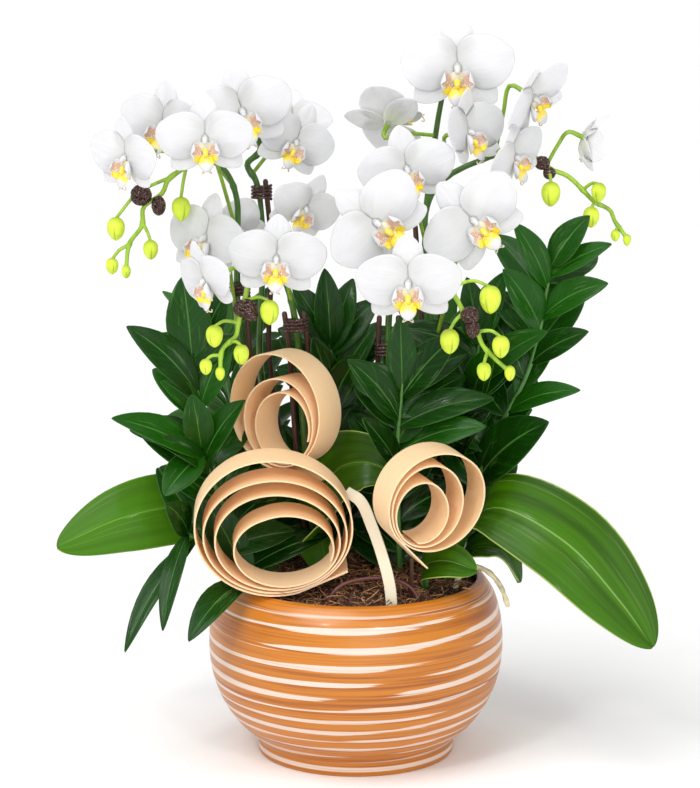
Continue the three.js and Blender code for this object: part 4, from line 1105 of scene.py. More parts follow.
def fibre_rule():
    """Short curled fibres scattered over the top of a mesh."""
    nodes, given, keys = rule("Tangled fibres", {
        "Density": "NodeSocketFloat", "Radius": "NodeSocketFloat", "Length": "NodeSocketFloat",
        "Seed": "NodeSocketInt", "Material": "NodeSocketMaterial",
    })
    top = nodes.add("GeometryNodeInputNamedAttribute", {"data_type": "BOOLEAN"}, {"Name": "open"})
    points = nodes.add("GeometryNodeDistributePointsOnFaces", {"distribute_method": "RANDOM"},
                       {"Mesh": given["Geometry"], "Selection": top, "Density": given["Density"],
                        "Seed": given["Seed"]})
    section = nodes.add("GeometryNodeCurvePrimitiveCircle", {"mode": "RADIUS"},
                        {"Resolution": 3, "Radius": given["Radius"]})
    curls = []
    for bend in (0.9, 2.0, 3.4):
        arc = nodes.add("GeometryNodeCurveArc", {"mode": "RADIUS"},
                        {"Resolution": 6, "Radius": given["Length"] / bend, "Sweep Angle": bend})
        curls.append(nodes.add("GeometryNodeCurveToMesh", {}, {"Curve": arc, "Profile Curve": section}))
    bundle = nodes.add("GeometryNodeGeometryToInstance")
    for curl in curls:
        nodes.tree.links.new(curl.socket, bundle.socket.node.inputs[0])

    def chance(kind, low, high, seed):
        low_socket, high_socket, out = {"FLOAT_VECTOR": (0, 1, 0), "FLOAT": (2, 3, 1)}[kind]
        return nodes.add("FunctionNodeRandomValue", {"data_type": kind},
                         {low_socket: low, high_socket: high, "Seed": seed}, out)

    turn = chance("FLOAT_VECTOR", (-0.75, -0.75, 0.0), (0.75, 0.75, FULL_TURN), 3)
    spin = nodes.add("FunctionNodeEulerToRotation", {}, {0: turn})
    placed = nodes.add("GeometryNodeInstanceOnPoints", {}, {
        "Points": points, "Instance": bundle, "Pick Instance": True, "Rotation": spin,
        "Scale": chance("FLOAT_VECTOR", (0.5, 0.5, 0.6), (1.3, 1.3, 1.0), 5),
    })
    tinted = nodes.add("GeometryNodeStoreNamedAttribute", {"data_type": "FLOAT", "domain": "INSTANCE"},
                       {"Geometry": placed, "Name": "tint", "Value": chance("FLOAT", 0.0, 1.0, 8)})
    close_rule(nodes, tinted, given["Material"])
    return nodes.tree, keys


RULES = {"rods": rod_rule, "fibres": fibre_rule}
made_rules = {}


def grown(source, name, rule_name, **inputs):
    """What a rule makes of a source object, as a plain object of its own. The source is removed."""
    if rule_name not in made_rules:
        made_rules[rule_name] = RULES[rule_name]()
    tree, keys = made_rules[rule_name]
    modifier = source.modifiers.new(rule_name, "NODES")
    modifier.node_group = tree
    for label, value in inputs.items():
        modifier[keys[label.title()]] = value
    seen = source.evaluated_get(bpy.context.evaluated_depsgraph_get())
    mesh = bpy.data.meshes.new_from_object(seen)
    old = source.data
    bpy.data.objects.remove(source)
    bpy.data.meshes.remove(old)
    mesh.name = name
    made = bpy.data.objects.new(name, mesh)
    bpy.context.scene.collection.objects.link(made)
    return made


def rods(name, lines, sides, finish):
    """Round bars in one object. Each line has its points, its radius at each and its tint at each."""
    corners, edges, thick, tint = [], [], [], []
    for points, radii, tints in lines:
        first = len(corners)
        corners.extend((np.asarray(points) * MM).tolist())
        edges.extend((first + i, first + i + 1) for i in range(len(points) - 1))
        thick.extend(np.broadcast_to(radii, len(points)) * MM)
        tint.extend(np.broadcast_to(tints, len(points)))
    mesh = bpy.data.meshes.new("lines")
    mesh.from_pydata(corners, edges, [])
    for label, values in (("thick", thick), ("tint", tint)):
        mesh.attributes.new(label, "FLOAT", "POINT").data.foreach_set("value", values)
    source = bpy.data.objects.new("lines", mesh)
    bpy.context.scene.collection.objects.link(source)
    return grown(source, name, "rods", sides=sides, material=finish_named(finish))


def bar(route, radius, steps, tint=0.0):
    """A line for rods along a route, with a rounded end. Its radius and tint are numbers or functions of the
    share along it."""
    share = np.linspace(0, 1, steps + 1)
    points = route.at(share)
    radii = radius(share) if callable(radius) else np.full(len(share), float(radius))
    tints = tint(share) if callable(tint) else np.full(len(share), float(tint))
    ahead, last = route.heading(1.0), radii[-1]
    points = np.vstack([points, points[-1] + ahead * last * 0.55, points[-1] + ahead * last * 0.85])
    radii = np.append(radii, [last * 0.8, last * 0.35])
    return points, radii, np.append(tints, [tints[-1]] * 2)


# ------------------------------------------------------------------ bowl and filling

def inside_radius(height):
    """The radius of the bowl's hollow at a height."""
    wall = np.array(POT_INSIDE[::-1])
    return np.interp(height, wall[:, 1], wall[:, 0])


def moss_height(x, y):
    """The moss is a low dome with soft lumps, and level at the bowl's mouth."""
    share = np.hypot(x, y) / MOUTH_RADIUS
    lumps = np.sin(x * 0.21 + 1.3) * np.cos(y * 0.17) + 0.6 * np.sin(x * 0.11 - y * 0.24)
    return MOSS_EDGE + MOSS_DOME * (1 - share ** 2) + MOSS_LUMPS * lumps * (1 - share ** 4)


def ring(radius, height, sides):
    """A ring of corners round the Z axis, at one height or at a height that a function of x and y gives."""
    angle = np.linspace(0, FULL_TURN, sides, endpoint=False)
    x, y = radius * np.cos(angle), radius * np.sin(angle)
    return np.stack([x, y, height(x, y) if callable(height) else np.full(sides, float(height))], -1)


def smooth_profile(points, steps):
    route = Route([[r, 0, z] for r, z in points])
    return route.at(np.linspace(0, 1, steps))[:, [0, 2]]


class ORCHID_OT_bowl(bpy.types.Operator):
    """Glazed bowl with a low foot and a rolled-in rim, and the potting mix in it"""

    bl_idname = "orchid.bowl"
    bl_label = "Bowl"

    def execute(self, context):
        rim = smooth_profile([POT_OUTSIDE[-1], POT_RIM, POT_INSIDE[0]], 5)[1:-1]
        profile = np.vstack([POT_FOOT, smooth_profile(POT_OUTSIDE, 70), rim, smooth_profile(POT_INSIDE, 36),
                             POT_FLOOR])
        facets = context.scene.orchid_sizes.bowl_facets
        shape = Shape()
        shape.closed([ring(r, z, facets) for r, z in profile[1:-1]],
                     [[0, 0, profile[0, 1]], [0, 0, profile[-1, 1]]], upwards=True)
        belongs(shape.object("glazed_bowl", ["glaze"], sharp=50), "bowl")
        mix = frame["nodes"]["potting_mix"]
        mix.data.materials.clear()
        mix.data.materials.append(finish_named("mix"))
        return {"FINISHED"}


class ORCHID_OT_moss(bpy.types.Operator):
    """Bed of moss and its tangled fibres"""

    bl_idname = "orchid.moss"
    bl_label = "Moss"

    def execute(self, context):
        sizes = context.scene.orchid_sizes
        rings = [ring(r, moss_height, MOSS_SIDES) for r in [*np.linspace(4, 80, 24), MOUTH_RADIUS - 1.5]]
        rings += [ring(inside_radius(z) - MOSS_GAP, z, MOSS_SIDES) for z in (117, 110, 102, MOSS_BOTTOM)]
        shape = Shape()
        shape.closed(rings, [[0, 0, moss_height(0, 0)], [0, 0, MOSS_BOTTOM]])
        bed = shape.object("moss_bed", ["moss_bed"])
        belongs(bed, "moss_cover")
        source = bed.copy()
        source.data = bed.data.copy()
        context.scene.collection.objects.link(source)
        centres = np.zeros(len(source.data.polygons) * 3)
        source.data.polygons.foreach_get("center", centres)
        x, y, z = centres.reshape(-1, 3).T
        is_open = (z > FIBRE_LOWEST * MM) & (np.hypot(x, y) < FIBRE_REACH * MM)
        source.data.attributes.new("open", "BOOLEAN", "FACE").data.foreach_set("value", is_open)
        fibres = grown(source, "moss_fibres", "fibres", density=sizes.fibre_density,
                       radius=sizes.fibre_radius, length=FIBRE_LENGTH * MM, seed=sizes.seed,
                       material=finish_named("fibre"))
        belongs(fibres, "moss_cover")
        return {"FINISHED"}


# ------------------------------------------------------------------ blooms

def swell(skew, fill):
    """How wide a leaf or petal is along its length: skew moves the widest place, fill rounds its ends."""
    return lambda u: np.maximum(0, np.sin(math.pi * u ** skew)) ** fill


# Each tepal points at an angle from the bloom's top. raise_ is how far in front its base stands, bow how far
# its middle stands forward, curl how far its tip does and cup how far its two edges do. lower and upper are
# the outlines of its two halves, and green is how green its base is.
SEPAL = {"length": 36.5, "width": 24, "raise_": -2.5, "bow": 2, "curl": 1, "cup": -1.2,
         "lower": swell(0.95, 0.6), "upper": swell(0.95, 0.6), "green": 1.0}
PETAL = {"length": 40, "width": 40, "raise_": 2.4, "bow": 2.4, "curl": -2, "cup": -1.3,
         "lower": swell(0.95, 0.5), "upper": swell(0.72, 0.52), "green": 0.25}
TEPALS = [
    {**SEPAL, "turn": 0, "raise_": -1.5, "curl": 2, "cup": -1.0, "green": 0.35},
    {**SEPAL, "turn": 130}, {**SEPAL, "turn": -130}, {**PETAL, "turn": 80}, {**PETAL, "turn": -80},
]


def tepal(shape, plan, world, thick, chance, forward):
    """One tepal with a soft midline crease, a cupped face and a gently waved edge."""
    angle = math.radians(plan["turn"] + chance.uniform(-3, 3))
    out_x, out_y = math.sin(angle), math.cos(angle)
    wave, phase = chance.uniform(0.4, 1.0), chance.uniform(0, FULL_TURN)
    length = plan["length"] * chance.uniform(0.97, 1.02)

    def place(u, v):
        outline = np.where(v * plan["turn"] > 0, plan["lower"](u), plan["upper"](u))
        half = plan["width"] * outline * v / 2
        depth = plan["raise_"] + plan["bow"] * np.sin(math.pi * u) + plan["curl"] * u ** 2
        depth = depth + plan["cup"] * v ** 2 * np.sin(math.pi * np.minimum(1, u + 0.15))
        depth = depth - 0.5 * np.exp(-(v / 0.09) ** 2) * np.sin(math.pi * u)
        depth = depth + wave * v ** 4 * np.sin(5 * u * np.sign(v) + phase)
        depth = depth + forward * u ** 2
        return world(out_x * length * u + out_y * half, out_y * length * u - out_x * half, depth)

    shape.blade(place, 16, 15, thick, chance.random(), lambda u, v: (np.full(u.shape, plan["green"]), u * 0))


# The round bodies in a bloom's heart: centre, radii, lean, rows and sides, how yellow, and 1 for the lip's
# finish. They are the callus, the bed of the lip, the column, its cap and the hub that the tepals grow from.
HEART = [
    [(0, -10.8, 7.2), (2.3, 3.8, 2.4), 0.0, (6, 10), 1.0, 1],
    [(0, -7.2, 3.4), (5.0, 5.0, 2.2), 0.0, (5, 12), 0.5, 1],
    [(0, -0.8, 4.4), (2.5, 2.7, 4.0), 0.25, (7, 12), 0.0, 1],
    [(0, -2.4, 7.4), (2.0, 1.8, 1.6), 0.4, (5, 10), 0.15, 1],
    [(0, 0, 0.2), (4.0, 4.4, 4.8), 0.0, (5, 12), 0.9, 0],
]


def heart(shape, world):
    """The round bodies in the middle of a bloom."""
    for centre, radii, lean, (rows, sides), yellow, slot in HEART:
        def place(down, angle, centre=centre, radii=radii, lean=lean):
            c, s = math.cos(lean), math.sin(lean)
            polar = down * math.pi
            x = radii[0] * np.sin(polar) * np.cos(angle)
            y = radii[1] * np.sin(polar) * np.sin(angle)
            z = radii[2] * np.cos(polar)
            return world(centre[0] + x, centre[1] + c * y - s * z, centre[2] + s * y + c * z)

        shape.ball(place, rows, sides, 0.5, lambda down, angle, yellow=yellow: 0 * down + yellow, slot)


def lobes(shape, world, thick):
    """The lip: its two cupped side lobes, its middle lobe and the two tendrils at the end of that."""
    for side in (-1, 1):
        def lobe(u, v, side=side):
            t = v * side
            high = 8.6 * np.maximum(0, np.sin(math.pi * (0.2 + 0.8 * u) ** 1.1)) ** 0.45
            x = 1.8 + 9.4 * np.sin(0.5 * math.pi * np.minimum(1, 1.25 * u))
            x = side * (x - 3.6 * np.maximum(0, t) ** 2 * u - 2.4 * np.maximum(0, -t) ** 2 * u)
            return world(x, -10.2 + t * high, 3 + 9.5 * u ** 1.3)

        def lobe_stains(u, v, side=side):
            t = v * side
            rim = np.clip((0.92 - u) * 5, 0, 1) * np.clip((0.8 - t) * 3, 0, 1)
            yellow = np.clip(-0.05 - t * 1.7, 0, 1) * np.clip((1.0 - u) * 6, 0, 1)
            return yellow, np.clip(0.8 + t * 0.9, 0, 1) * rim

        shape.blade(lobe, 11, 11, thick, 0.5, lobe_stains, slot=1)

    def middle(u, v):
        width = 12.5 * np.maximum(0, np.sin(math.pi * (0.14 + 0.86 * u) ** 1.25)) ** 0.6
        z = 5.5 + 5.5 * np.sin(u * 1.8) - 2.2 * v ** 2 * np.sin(math.pi * u)
        return world(v * width / 2, -13.0 - 13.0 * u, z)

    def middle_stains(u, v):
        return np.clip(1.05 - u * 1.25 + np.abs(v) * 0.3, 0, 1), np.clip(0.7 - u * 1.6, 0, 1)

    shape.blade(middle, 12, 9, thick * 1.1, 0.5, middle_stains, slot=1)
    for side in (-1, 1):
        def tendril(u, v, side=side):
            x = side * (0.6 + 3.2 * np.sin(2.6 * u)) + v * 0.55
            return world(x, -25.5 - 2.4 * np.sin(math.pi * u), 10 - 3.5 * u)

        shape.blade(tendril, 8, 5, thick, 0.5, lambda u, v: (u * 0 + 0.5, u * 0 + 0.4), slot=1)


def bloom(name, plan, sizes, number):
    """One open bloom. Its parts are drawn at BLOOM_SPAN, looking along Z with their top along Y."""
    _, _, centre, yaw, pitch, roll, span, forward = plan
    right, top, look = facing(yaw, pitch, roll)
    scale = span / BLOOM_SPAN
    chance = random.Random(sizes.seed * 100 + number)

    def world(x, y, z):
        x, y, z = np.broadcast_arrays(x, y, z)
        return np.asarray(centre) + scale * (x[..., None] * right + y[..., None] * top + z[..., None] * look)

    shape = Shape()
    thick = sizes.petal_thick / MM
    for plan_of_tepal in TEPALS:
        tepal(shape, plan_of_tepal, world, thick, chance, forward)
    lobes(shape, world, thick)
    heart(shape, world)
    belongs(shape.object(name.replace("bloom", "open_bloom"), ["petal", "lip"]), name)


class ORCHID_OT_blooms(bpy.types.Operator):
    """White blooms, each with five tepals, a lip and a column"""

    bl_idname = "orchid.blooms"
    bl_label = "Blooms"

    def execute(self, context):
        for number, (name, plan) in enumerate(BLOOMS.items()):
            bloom(name, plan, context.scene.orchid_sizes, number)
        return {"FINISHED"}


# ------------------------------------------------------------------ flower spikes

def pedicel(start, plan):
    """A flower stalk that leaves the spike and comes into the back of its bloom."""
    _, _, centre, yaw, pitch, roll, span, _ = plan
    look = facing(yaw, pitch, roll)[2]
    back = np.asarray(centre) - look * (HUB_BACK * span / BLOOM_SPAN - 1)
    reach = min(16, np.linalg.norm(back - start) / 3)
    bend = back - look * reach
    middle = start + (bend - start) * 0.55 + np.array([0, 0, 2])
    return bar(Route([start, middle, bend, back]), lambda t: PEDICEL_RADIUS + PEDICEL_FLARE * t ** 3, 16, 0.9)


def bud_body(shape, centre, width, length, chance):
    """A hanging bud with three seams that meet at its tip."""
    turn = chance.uniform(-0.6, 0.6) - math.pi / 2

    def seam(angle):
        away = np.abs((angle - turn + math.pi / 3) % (FULL_TURN / 3) - math.pi / 3)
        return np.exp(-(away / 0.15) ** 2)

    def place(down, angle):
        polar = down * math.pi
        round_off = np.sin(polar) ** 0.88 * (1 + 0.10 * np.cos(polar))
        wide = width * round_off * (1 - 0.055 * seam(angle) * down)
        z = length / 2 * np.cos(polar) - 0.06 * length * down ** 8
        return centre + np.stack([wide * np.cos(angle), wide * np.sin(angle), z], -1)

    shape.ball(place, 16, 48, chance.random(), lambda d, a: seam(a) * np.minimum(1, d * 1.6))


def bud_stalk(start, crown):
    """The stalk that arches from the spike to the top of a bud."""
    level = (crown - start) * [1, 1, 0]
    over = start + (crown - start) * 0.6 + [0, 0, np.linalg.norm(level) * 0.16]
    return bar(Route([start, over, crown]), lambda t: BUD_STALK_RADIUS - BUD_STALK_TAPER * t, 14, 1.0)


def spike(name, plan, sizes, number):
    """One flower spike with its branch, its flower stalks and its buds."""
    chance = random.Random(sizes.seed * 50 + number)
    route = Route(plan["path"])
    joints = [share for share, _, _ in plan["buds"]]
    lines, shape = [], Shape()
    for flower in [bloom_plan for bloom_plan in BLOOMS.values() if bloom_plan[0] == name]:
        share = flower[1]
        if share > 0:
            joints.append(share)
            lines.append(pedicel(route.at(share), flower))
        else:
            lines.append(pedicel(Route(plan["branch"]).at(-share), flower))

    def radius(t):
        thick = SPIKE_FOOT_RADIUS + (SPIKE_TIP_RADIUS - SPIKE_FOOT_RADIUS) * t
        for joint in [LOWEST_JOINT, *joints]:
            thick = thick + JOINT_SWELL * np.exp(-((t - joint) * route.length / JOINT_REACH) ** 2)
        if plan["buds"]:
            return thick
        return thick + 0.6 * np.clip((t - 0.8) * 12, 0, 1)  # it ends in a bloom, so its tip isn't thin

    def age(t):
        return np.clip((t - 0.35) / 0.5, 0, 1 if plan["buds"] else 0.74)

    lines.append(bar(route, radius, 150, age))
    if "branch" in plan:
        lines.append(bar(Route(plan["branch"]), lambda t: BRANCH_RADIUS - BRANCH_TAPER * t, 24,
                         lambda t: 0.3 + 0.2 * t))
    for share, centre, length in plan["buds"]:
        centre = np.asarray(centre, float)
        if share < 1:
            lines.append(bud_stalk(route.at(share), centre + [0, 0, length / 2 - 1]))
        width = length * (BUD_FULLNESS if share < 1 else LAST_BUD_FULLNESS)
        bud_body(shape, centre, width, length, chance)
    belongs(rods(name.replace("spike", "flower_spike"), lines, 12, "stem"), name)
    if plan["buds"]:
        belongs(shape.object(name.replace("spike", "buds"), ["bud"]), name)


class ORCHID_OT_spikes(bpy.types.Operator):
    """Flower spikes with their flower stalks and buds"""

    bl_idname = "orchid.spikes"
    bl_label = "Flower spikes"

    def execute(self, context):
        for number, (name, plan) in enumerate(SPIKES.items()):
            spike(name, plan, context.scene.orchid_sizes, number)
        return {"FINISHED"}


# ------------------------------------------------------------------ stakes, ties and knots

def stakes(name, plan):
    """The stakes of a spike. They follow it at one side or at both."""
    path = SPIKES[plan["spike"]]["path"]
    route = Route(path)
    heights = [z for z in STAKE_LEVELS if z < plan["top"] - 8] + [plan["top"]]
    points = [path[0]] + [route.at(route.share_at_height(z)) for z in heights]
    lines = [bar(Route(np.array(points) + [side * STAKE_OFFSET, 0, 0]), STAKE_RADIUS, 60)
             for side in plan["sides"]]
    belongs(rods(name.replace("stake", "wood_stake"), lines, 10, "wood"), name)


def tie(name, plan):
    """Turns of wire round a spike and its stakes."""
    route = Route(SPIKES[plan["spike"]]["path"])
    sides = plan["sides"]
    x, y, z = route.at(route.share_at_height(plan["tie"]))
    if len(sides) == 1:
        x += TIE_SHIFT * sides[0]
    reach, deep = TIE_REACH[len(sides)]
    turn = TIE_TURNS * np.linspace(0, 1, 96)
    angle = FULL_TURN * turn
    height = z + (turn - TIE_TURNS / 2) * TIE_RISE
    loop = np.stack([x + reach * np.cos(angle), y + deep * np.sin(angle), height], -1)
    belongs(rods(name.replace("stake", "tie_on_stake"), [(loop, TIE_WIRE, 0.0)], 8, "wire"), name)


def knot(name, plan, sizes, number):
    """Balls wound from wire. Each wind is an ellipse, and they sway round so that they cross each other."""
    chance = random.Random(sizes.seed * 70 + number)
    middle = Route(SPIKES[plan["spike"]]["path"]).at(plan["share"])
    lines = []
    t = np.linspace(0, 1, 900)
    for offset, radii in plan["balls"]:
        start = chance.uniform(0, FULL_TURN)
        turn, lean, spin = start + FULL_TURN * KNOT_SWAYS * t, 0.25 + 1.2 * t, FULL_TURN * KNOT_WINDS * t
        pole = np.stack([np.sin(lean) * np.cos(turn), np.sin(lean) * np.sin(turn), np.cos(lean)], -1)
        level = np.stack([-np.sin(turn), np.cos(turn), 0 * t], -1)
        round_it = level * np.cos(spin)[:, None] + np.cross(pole, level) * np.sin(spin)[:, None]
        lines.append((middle + offset + round_it * (np.asarray(radii) - KNOT_WIRE), KNOT_WIRE, 0.0))
    belongs(rods(name.replace("wire_knot", "wound_wire"), lines, 6, "wire"), name)


class ORCHID_OT_stakes(bpy.types.Operator):
    """Dark stakes, the wire that ties the spikes to them and the knots of wire"""

    bl_idname = "orchid.stakes"
    bl_label = "Stakes and wire"

    def execute(self, context):
        for name, plan in STAKES.items():
            stakes(name, plan)
            tie(name, plan)
        for number, (name, plan) in enumerate(KNOTS.items()):
            knot(name, plan, context.scene.orchid_sizes, number)
        return {"FINISHED"}


# ------------------------------------------------------------------ leaves

LEAFLET_OUTLINE = swell(0.92, 0.7)
LEAF_FOLD = 0.2


def leaf(name, plan, sizes, number):
    """A strap leaf with a sunken midrib, and the stalk under it."""
    chance = random.Random(sizes.seed * 30 + number)
    route = Route(plan["spine"])
    phase = chance.uniform(0, FULL_TURN)
    across = np.asarray(plan["across"], float)
    outline = swell(1.22, plan.get("fill", 0.55))

    def place(u, v):
        along = route.heading(u)
        side = unit(across - along * (along @ across)[..., None])
        half = plan["width"] * np.maximum(outline(u), 0.2 * np.minimum(1, u / 0.03) * (u < 0.2)) / 2
        lift = LEAF_FOLD * half * (np.sqrt(v ** 2 + 0.01) - 0.1)
        lift = lift + 0.5 * v ** 4 * np.sin(9 * u + phase + np.sign(v)) - 0.7 * np.exp(-(v / 0.07) ** 2)
        return route.at(u) + side * (half * v)[..., None] + np.cross(along, side) * lift[..., None]

    shape = Shape()
    shape.blade(place, 44, 21, sizes.leaf_thick / MM, chance.random())
    blade = shape.object(name.replace("leaf", "strap_leaf"), ["strap_leaf"])
    x, y, z = plan["spine"][0]
    foot = Route([[x, y, STEM_FOOT], [x, y, z - 8], route.at(0.0) + route.heading(0.0) * 6])
    stalk = rods(name.replace("leaf", "leaf_stalk"), [bar(foot, LEAF_STALK_RADIUS, 12)], 10, "stalk")
    belongs(stalk, name)
    belongs(blade, name)


class ORCHID_OT_strap_leaves(bpy.types.Operator):
    """Broad strap leaves with a sunken midrib"""

    bl_idname = "orchid.strap_leaves"
    bl_label = "Strap leaves"

    def execute(self, context):
        for number, (name, plan) in enumerate(STRAP_LEAVES.items()):
            leaf(name, plan, context.scene.orchid_sizes, number)
        return {"FINISHED"}


def leaflet_blade(shape, base, tip, up, width, thick, chance):
    """One leaflet that arches from the stalk to its tip, folded a little along its midrib."""
    base, tip, up = (np.asarray(p, float) for p in (base, tip, up))
    along = tip - base
    length = np.linalg.norm(along)
    along = along / length
    out = unit(up - along * (up @ along))
    across = np.cross(out, along)
    arch, fold = chance.uniform(0.03, 0.07), chance.uniform(0.14, 0.34)
    sag = chance.uniform(0.03, 0.09) * length * (np.array([0, 0, 1]) - along * along[2])
    twist, phase = chance.uniform(-0.25, 0.25), chance.uniform(0, FULL_TURN)

    def place(u, v):
        half = width * 1.12 * LEAFLET_OUTLINE(u) / 2
        lift = arch * length * 4 * u * (1 - u) + fold * half * (np.sqrt(v ** 2 + 0.02) - 0.14)
        lift = lift + twist * half * v * u - 0.35 * np.exp(-(v / 0.08) ** 2)
        lift = lift + 0.35 * v ** 4 * np.sin(7 * u + phase)
        middle = base + along * (length * u)[..., None] + sag * (4 * u * (1 - u))[..., None]
        return middle + out * lift[..., None] + across * (half * v)[..., None]

    shape.blade(place, 14, 9, thick, chance.random())


def in_the_way(base, tip):
    """Whether a leaflet would cross a coil or hide it from the front."""
    for plan in COILS.values():
        x, y, z = plan["centre"]
        reach = max(plan["rings"][0]) / 2 + COIL_MARGIN
        for share in (0.25, 0.5, 0.75, 1.0):
            point = base + (tip - base) * share
            if point[1] < y + COIL_DEPTH and math.hypot(point[0] - x, point[2] - z) < reach:
                return True
    return False


def more_leaflets(plan, route, chance):
    """Leaflets that fill a frond by rule: they leave its stalk to the sides and the back, in turn, and each
    has a few tries to keep clear of the coils."""
    found = []
    low, high = 128, route.line[-1, 2] - 6
    for i in range(plan["more"]):
        height = low + (high - low) * (i + 0.5) / plan["more"]
        base = route.at(route.share_at_height(height))
        for _ in range(6):
            backwards = math.radians(chance.uniform(4, 62))
            side = 1 if i % 2 else -1
            length = chance.uniform(46, 66)
            rise = math.radians(chance.uniform(12, 52))
            step = np.array([side * math.cos(backwards), math.sin(backwards), 0]) * math.cos(rise)
            tip = base + (step + np.array([0, 0, math.sin(rise)])) * length
            if not in_the_way(base, tip):
                found.append((base, tip, chance.uniform(19, 26)))
                break
    return found


def frond(name, plan, sizes, number):
    """One frond: first the leaflets of its plan, then those that the rule adds."""
    chance = random.Random(sizes.seed * 10 + number)
    route = Route(plan["stalk"])
    shape = Shape()
    thick = sizes.leaflet_thick / MM
    for x, y, z, width, height in plan["leaflets"]:
        base = route.at(route.share_at_height(height))
        leaflet_blade(shape, base, [x, y, z], plan["up"], width, thick, chance)
    for base, tip, width in more_leaflets(plan, route, chance):
        leaflet_blade(shape, base, tip, plan["up"], width, thick, chance)
    belongs(shape.object(name.replace("frond", "leaflets"), ["leaflet"]), name)
    stalk = bar(route, lambda t: FROND_STALK_RADIUS - FROND_STALK_TAPER * t, 60)
    belongs(rods(name.replace("frond", "stalk"), [stalk], 10, "stalk"), name)


class ORCHID_OT_fronds(bpy.types.Operator):
    """Pinnate fronds of glossy leaflets"""

    bl_idname = "orchid.fronds"
    bl_label = "Fronds"

    def execute(self, context):
        for number, (name, plan) in enumerate(FRONDS.items()):
            frond(name, plan, context.scene.orchid_sizes, number)
        return {"FINISHED"}


# ------------------------------------------------------------------ veneer and small things

def veneer_line(plan):
    """The strip's line in the coil's own plane, from its free end inwards. Its last turn isn't a full one."""
    rings = np.array(plan["rings"], float)
    meet = math.radians(plan["touch"])
    turns = len(rings) - 0.12
    turn = np.linspace(plan["from"], turns, round((turns - plan["from"]) * VENEER_FACETS) + 1)
    place = np.clip(turn - 0.5, 0, len(rings) - 1)
    wide, high = (np.interp(place, np.arange(len(rings)), rings[:, axis]) / 2 for axis in (0, 1))
    angle = meet - FULL_TURN * turn
    inset = turn * VENEER_STEP
    x = (rings[0, 0] / 2 - wide - inset) * math.cos(meet) + wide * np.cos(angle)
    y = (rings[0, 1] / 2 - high - inset) * math.sin(meet) + high * np.sin(angle)
    return np.vstack([plan["tail"], np.stack([x, y], -1)])


class ORCHID_OT_coils(bpy.types.Operator):
    """Coils rolled from strips of veneer, and the pick that holds one of them"""

    bl_idname = "orchid.coils"
    bl_label = "Veneer coils"

    def execute(self, context):
        for name, plan in COILS.items():
            right, top, look = facing(plan["yaw"], plan["pitch"], 0)
            flat = veneer_line(plan)
            middle = np.asarray(plan["centre"]) + flat[:, :1] * right + flat[:, 1:] * top
            along = unit(np.gradient(middle, axis=0))
            out = np.cross(look, along)
            shape = Shape()
            shape.strip(middle, out, np.broadcast_to(look, middle.shape), VENEER_WIDTH, VENEER_THICK)
            belongs(shape.object(name.replace("coil", "veneer_coil"), ["veneer"], sharp=40), name)
        belongs(rods("holding_pick", [bar(Route(PICK), PICK_RADIUS, 24)], 10, "wood"), "coil_pick")
        return {"FINISHED"}


class ORCHID_OT_small_things(bpy.types.Operator):
    """The pale strap, the bowed wire and the aerial root"""

    bl_idname = "orchid.small_things"
    bl_label = "Strap, wire and root"

    def execute(self, context):
        route = Route(STRAP)
        share = np.linspace(0, 1, 60)
        along = route.heading(share)
        across = np.array(STRAP_ACROSS)
        side = unit(across - along * (along @ across)[:, None])
        shape = Shape()
        shape.strip(route.at(share), np.cross(along, side), side, STRAP_WIDTH, STRAP_THICK)
        belongs(shape.object("pale_strap", ["strap"], sharp=40), "veneer_strap")
        belongs(rods("bow", [bar(Route(BOW), BOW_WIRE, 80)], 10, "bow"), "bowed_wire")

        def bumpy(t):
            return 2.1 - 0.4 * t + 0.16 * np.sin(t * 41) + 0.12 * np.sin(t * 67 + 1)

        belongs(rods("root_over_rim", [bar(Route(ROOT), bumpy, 120)], 14, "root"), "aerial_root")
        return {"FINISHED"}


# ------------------------------------------------------------------ stage

def set_up(name, data, place, aim):
    """Stands a lamp or the camera at a place in the scene so that it looks at a point."""
    stand = bpy.data.objects.new(name, data)
    stand.location = place
    stand.rotation_euler = (Vector(place) - Vector(aim)).to_track_quat("Z", "Y").to_euler()
    bpy.context.scene.collection.objects.link(stand)
    return stand


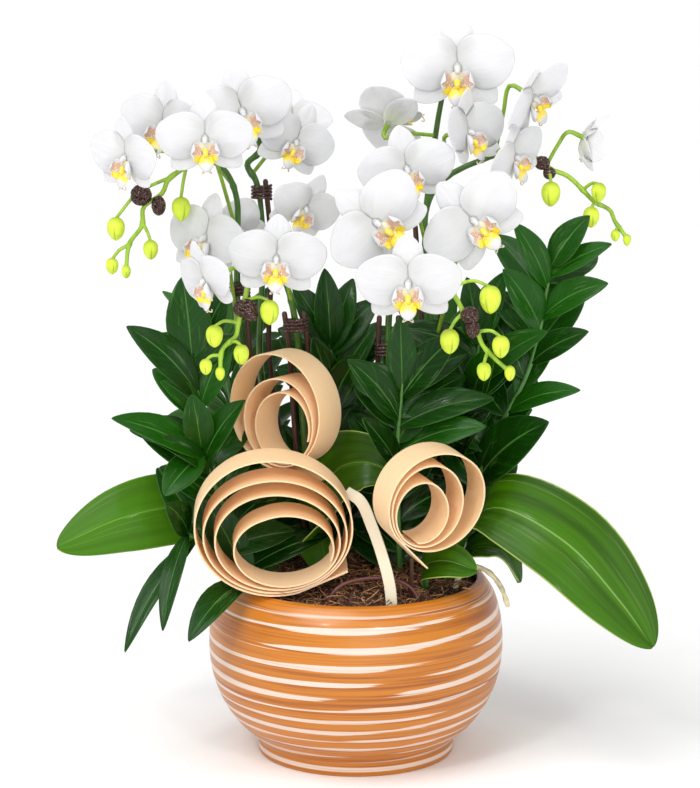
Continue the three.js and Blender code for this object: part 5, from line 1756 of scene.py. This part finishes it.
class ORCHID_OT_stage(bpy.types.Operator):
    """Pale floor, soft lights and the camera"""

    bl_idname = "orchid.stage"
    bl_label = "Stage"

    def execute(self, context):
        scene = context.scene
        mesh = bpy.data.meshes.new("floor")
        corners = [(x * FLOOR_HALF, y * FLOOR_HALF, 0) for x, y in ((-1, -1), (1, -1), (1, 1), (-1, 1))]
        mesh.from_pydata(corners, [], [(0, 1, 2, 3)])
        mesh.materials.append(pale_floor())
        floor = bpy.data.objects.new("floor", mesh)
        scene.collection.objects.link(floor)
        sun = bpy.data.lights.new("key", "SUN")
        sun.energy = SUN_ENERGY
        sun.angle = math.radians(SUN_SPREAD)
        set_up("key", sun, SUN_FROM, (0, 0, 0))
        for name, (size, energy, place) in LAMPS.items():
            lamp = bpy.data.lights.new(name, "AREA")
            lamp.size = size
            lamp.energy = energy
            set_up(name, lamp, place, LAMP_AIM)
        world = bpy.data.worlds.new("studio")
        world.use_nodes = True
        background = world.node_tree.nodes["Background"]
        background.inputs["Color"].default_value = (1, 1, 1, 1)
        background.inputs["Strength"].default_value = SKY_STRENGTH
        scene.world = world
        scene.view_settings.view_transform = "Standard"
        lens = bpy.data.cameras.new("camera")
        lens.sensor_width = CAMERA_SENSOR
        lens.lens = CAMERA_LENS
        scene.camera = set_up("camera", lens, Vector(CAMERA_PLACE) * MM, Vector(CAMERA_AIM) * MM)
        return {"FINISHED"}


# ------------------------------------------------------------------ add-on

PIECES = [ORCHID_OT_bowl, ORCHID_OT_moss, ORCHID_OT_spikes, ORCHID_OT_blooms, ORCHID_OT_stakes,
          ORCHID_OT_strap_leaves, ORCHID_OT_fronds, ORCHID_OT_coils, ORCHID_OT_small_things, ORCHID_OT_stage]


class ORCHID_PT_sidebar(bpy.types.Panel):
    """Lists the pieces of the potted orchid"""

    bl_idname = "ORCHID_PT_sidebar"
    bl_label = "Potted orchid"
    bl_space_type = "VIEW_3D"
    bl_region_type = "UI"
    bl_category = "Orchid"

    def draw(self, context):
        for group in (context.scene.orchid_sizes, context.scene.orchid_colours):
            for name in group.__annotations__:
                self.layout.prop(group, name)
        for piece in PIECES:
            self.layout.operator(piece.bl_idname)


CLASSES = [OrchidColours, OrchidSizes, *PIECES, ORCHID_PT_sidebar]


def register():
    for made in CLASSES:
        bpy.utils.register_class(made)
    bpy.types.Scene.orchid_colours = PointerProperty(type=OrchidColours)
    bpy.types.Scene.orchid_sizes = PointerProperty(type=OrchidSizes)


def unregister():
    del bpy.types.Scene.orchid_sizes
    del bpy.types.Scene.orchid_colours
    for made in reversed(CLASSES):
        bpy.utils.unregister_class(made)


def main():
    register()
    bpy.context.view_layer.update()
    for piece in PIECES:
        group, name = piece.bl_idname.split(".")
        getattr(getattr(bpy.ops, group), name)()


if __name__ == "__main__":
    main()
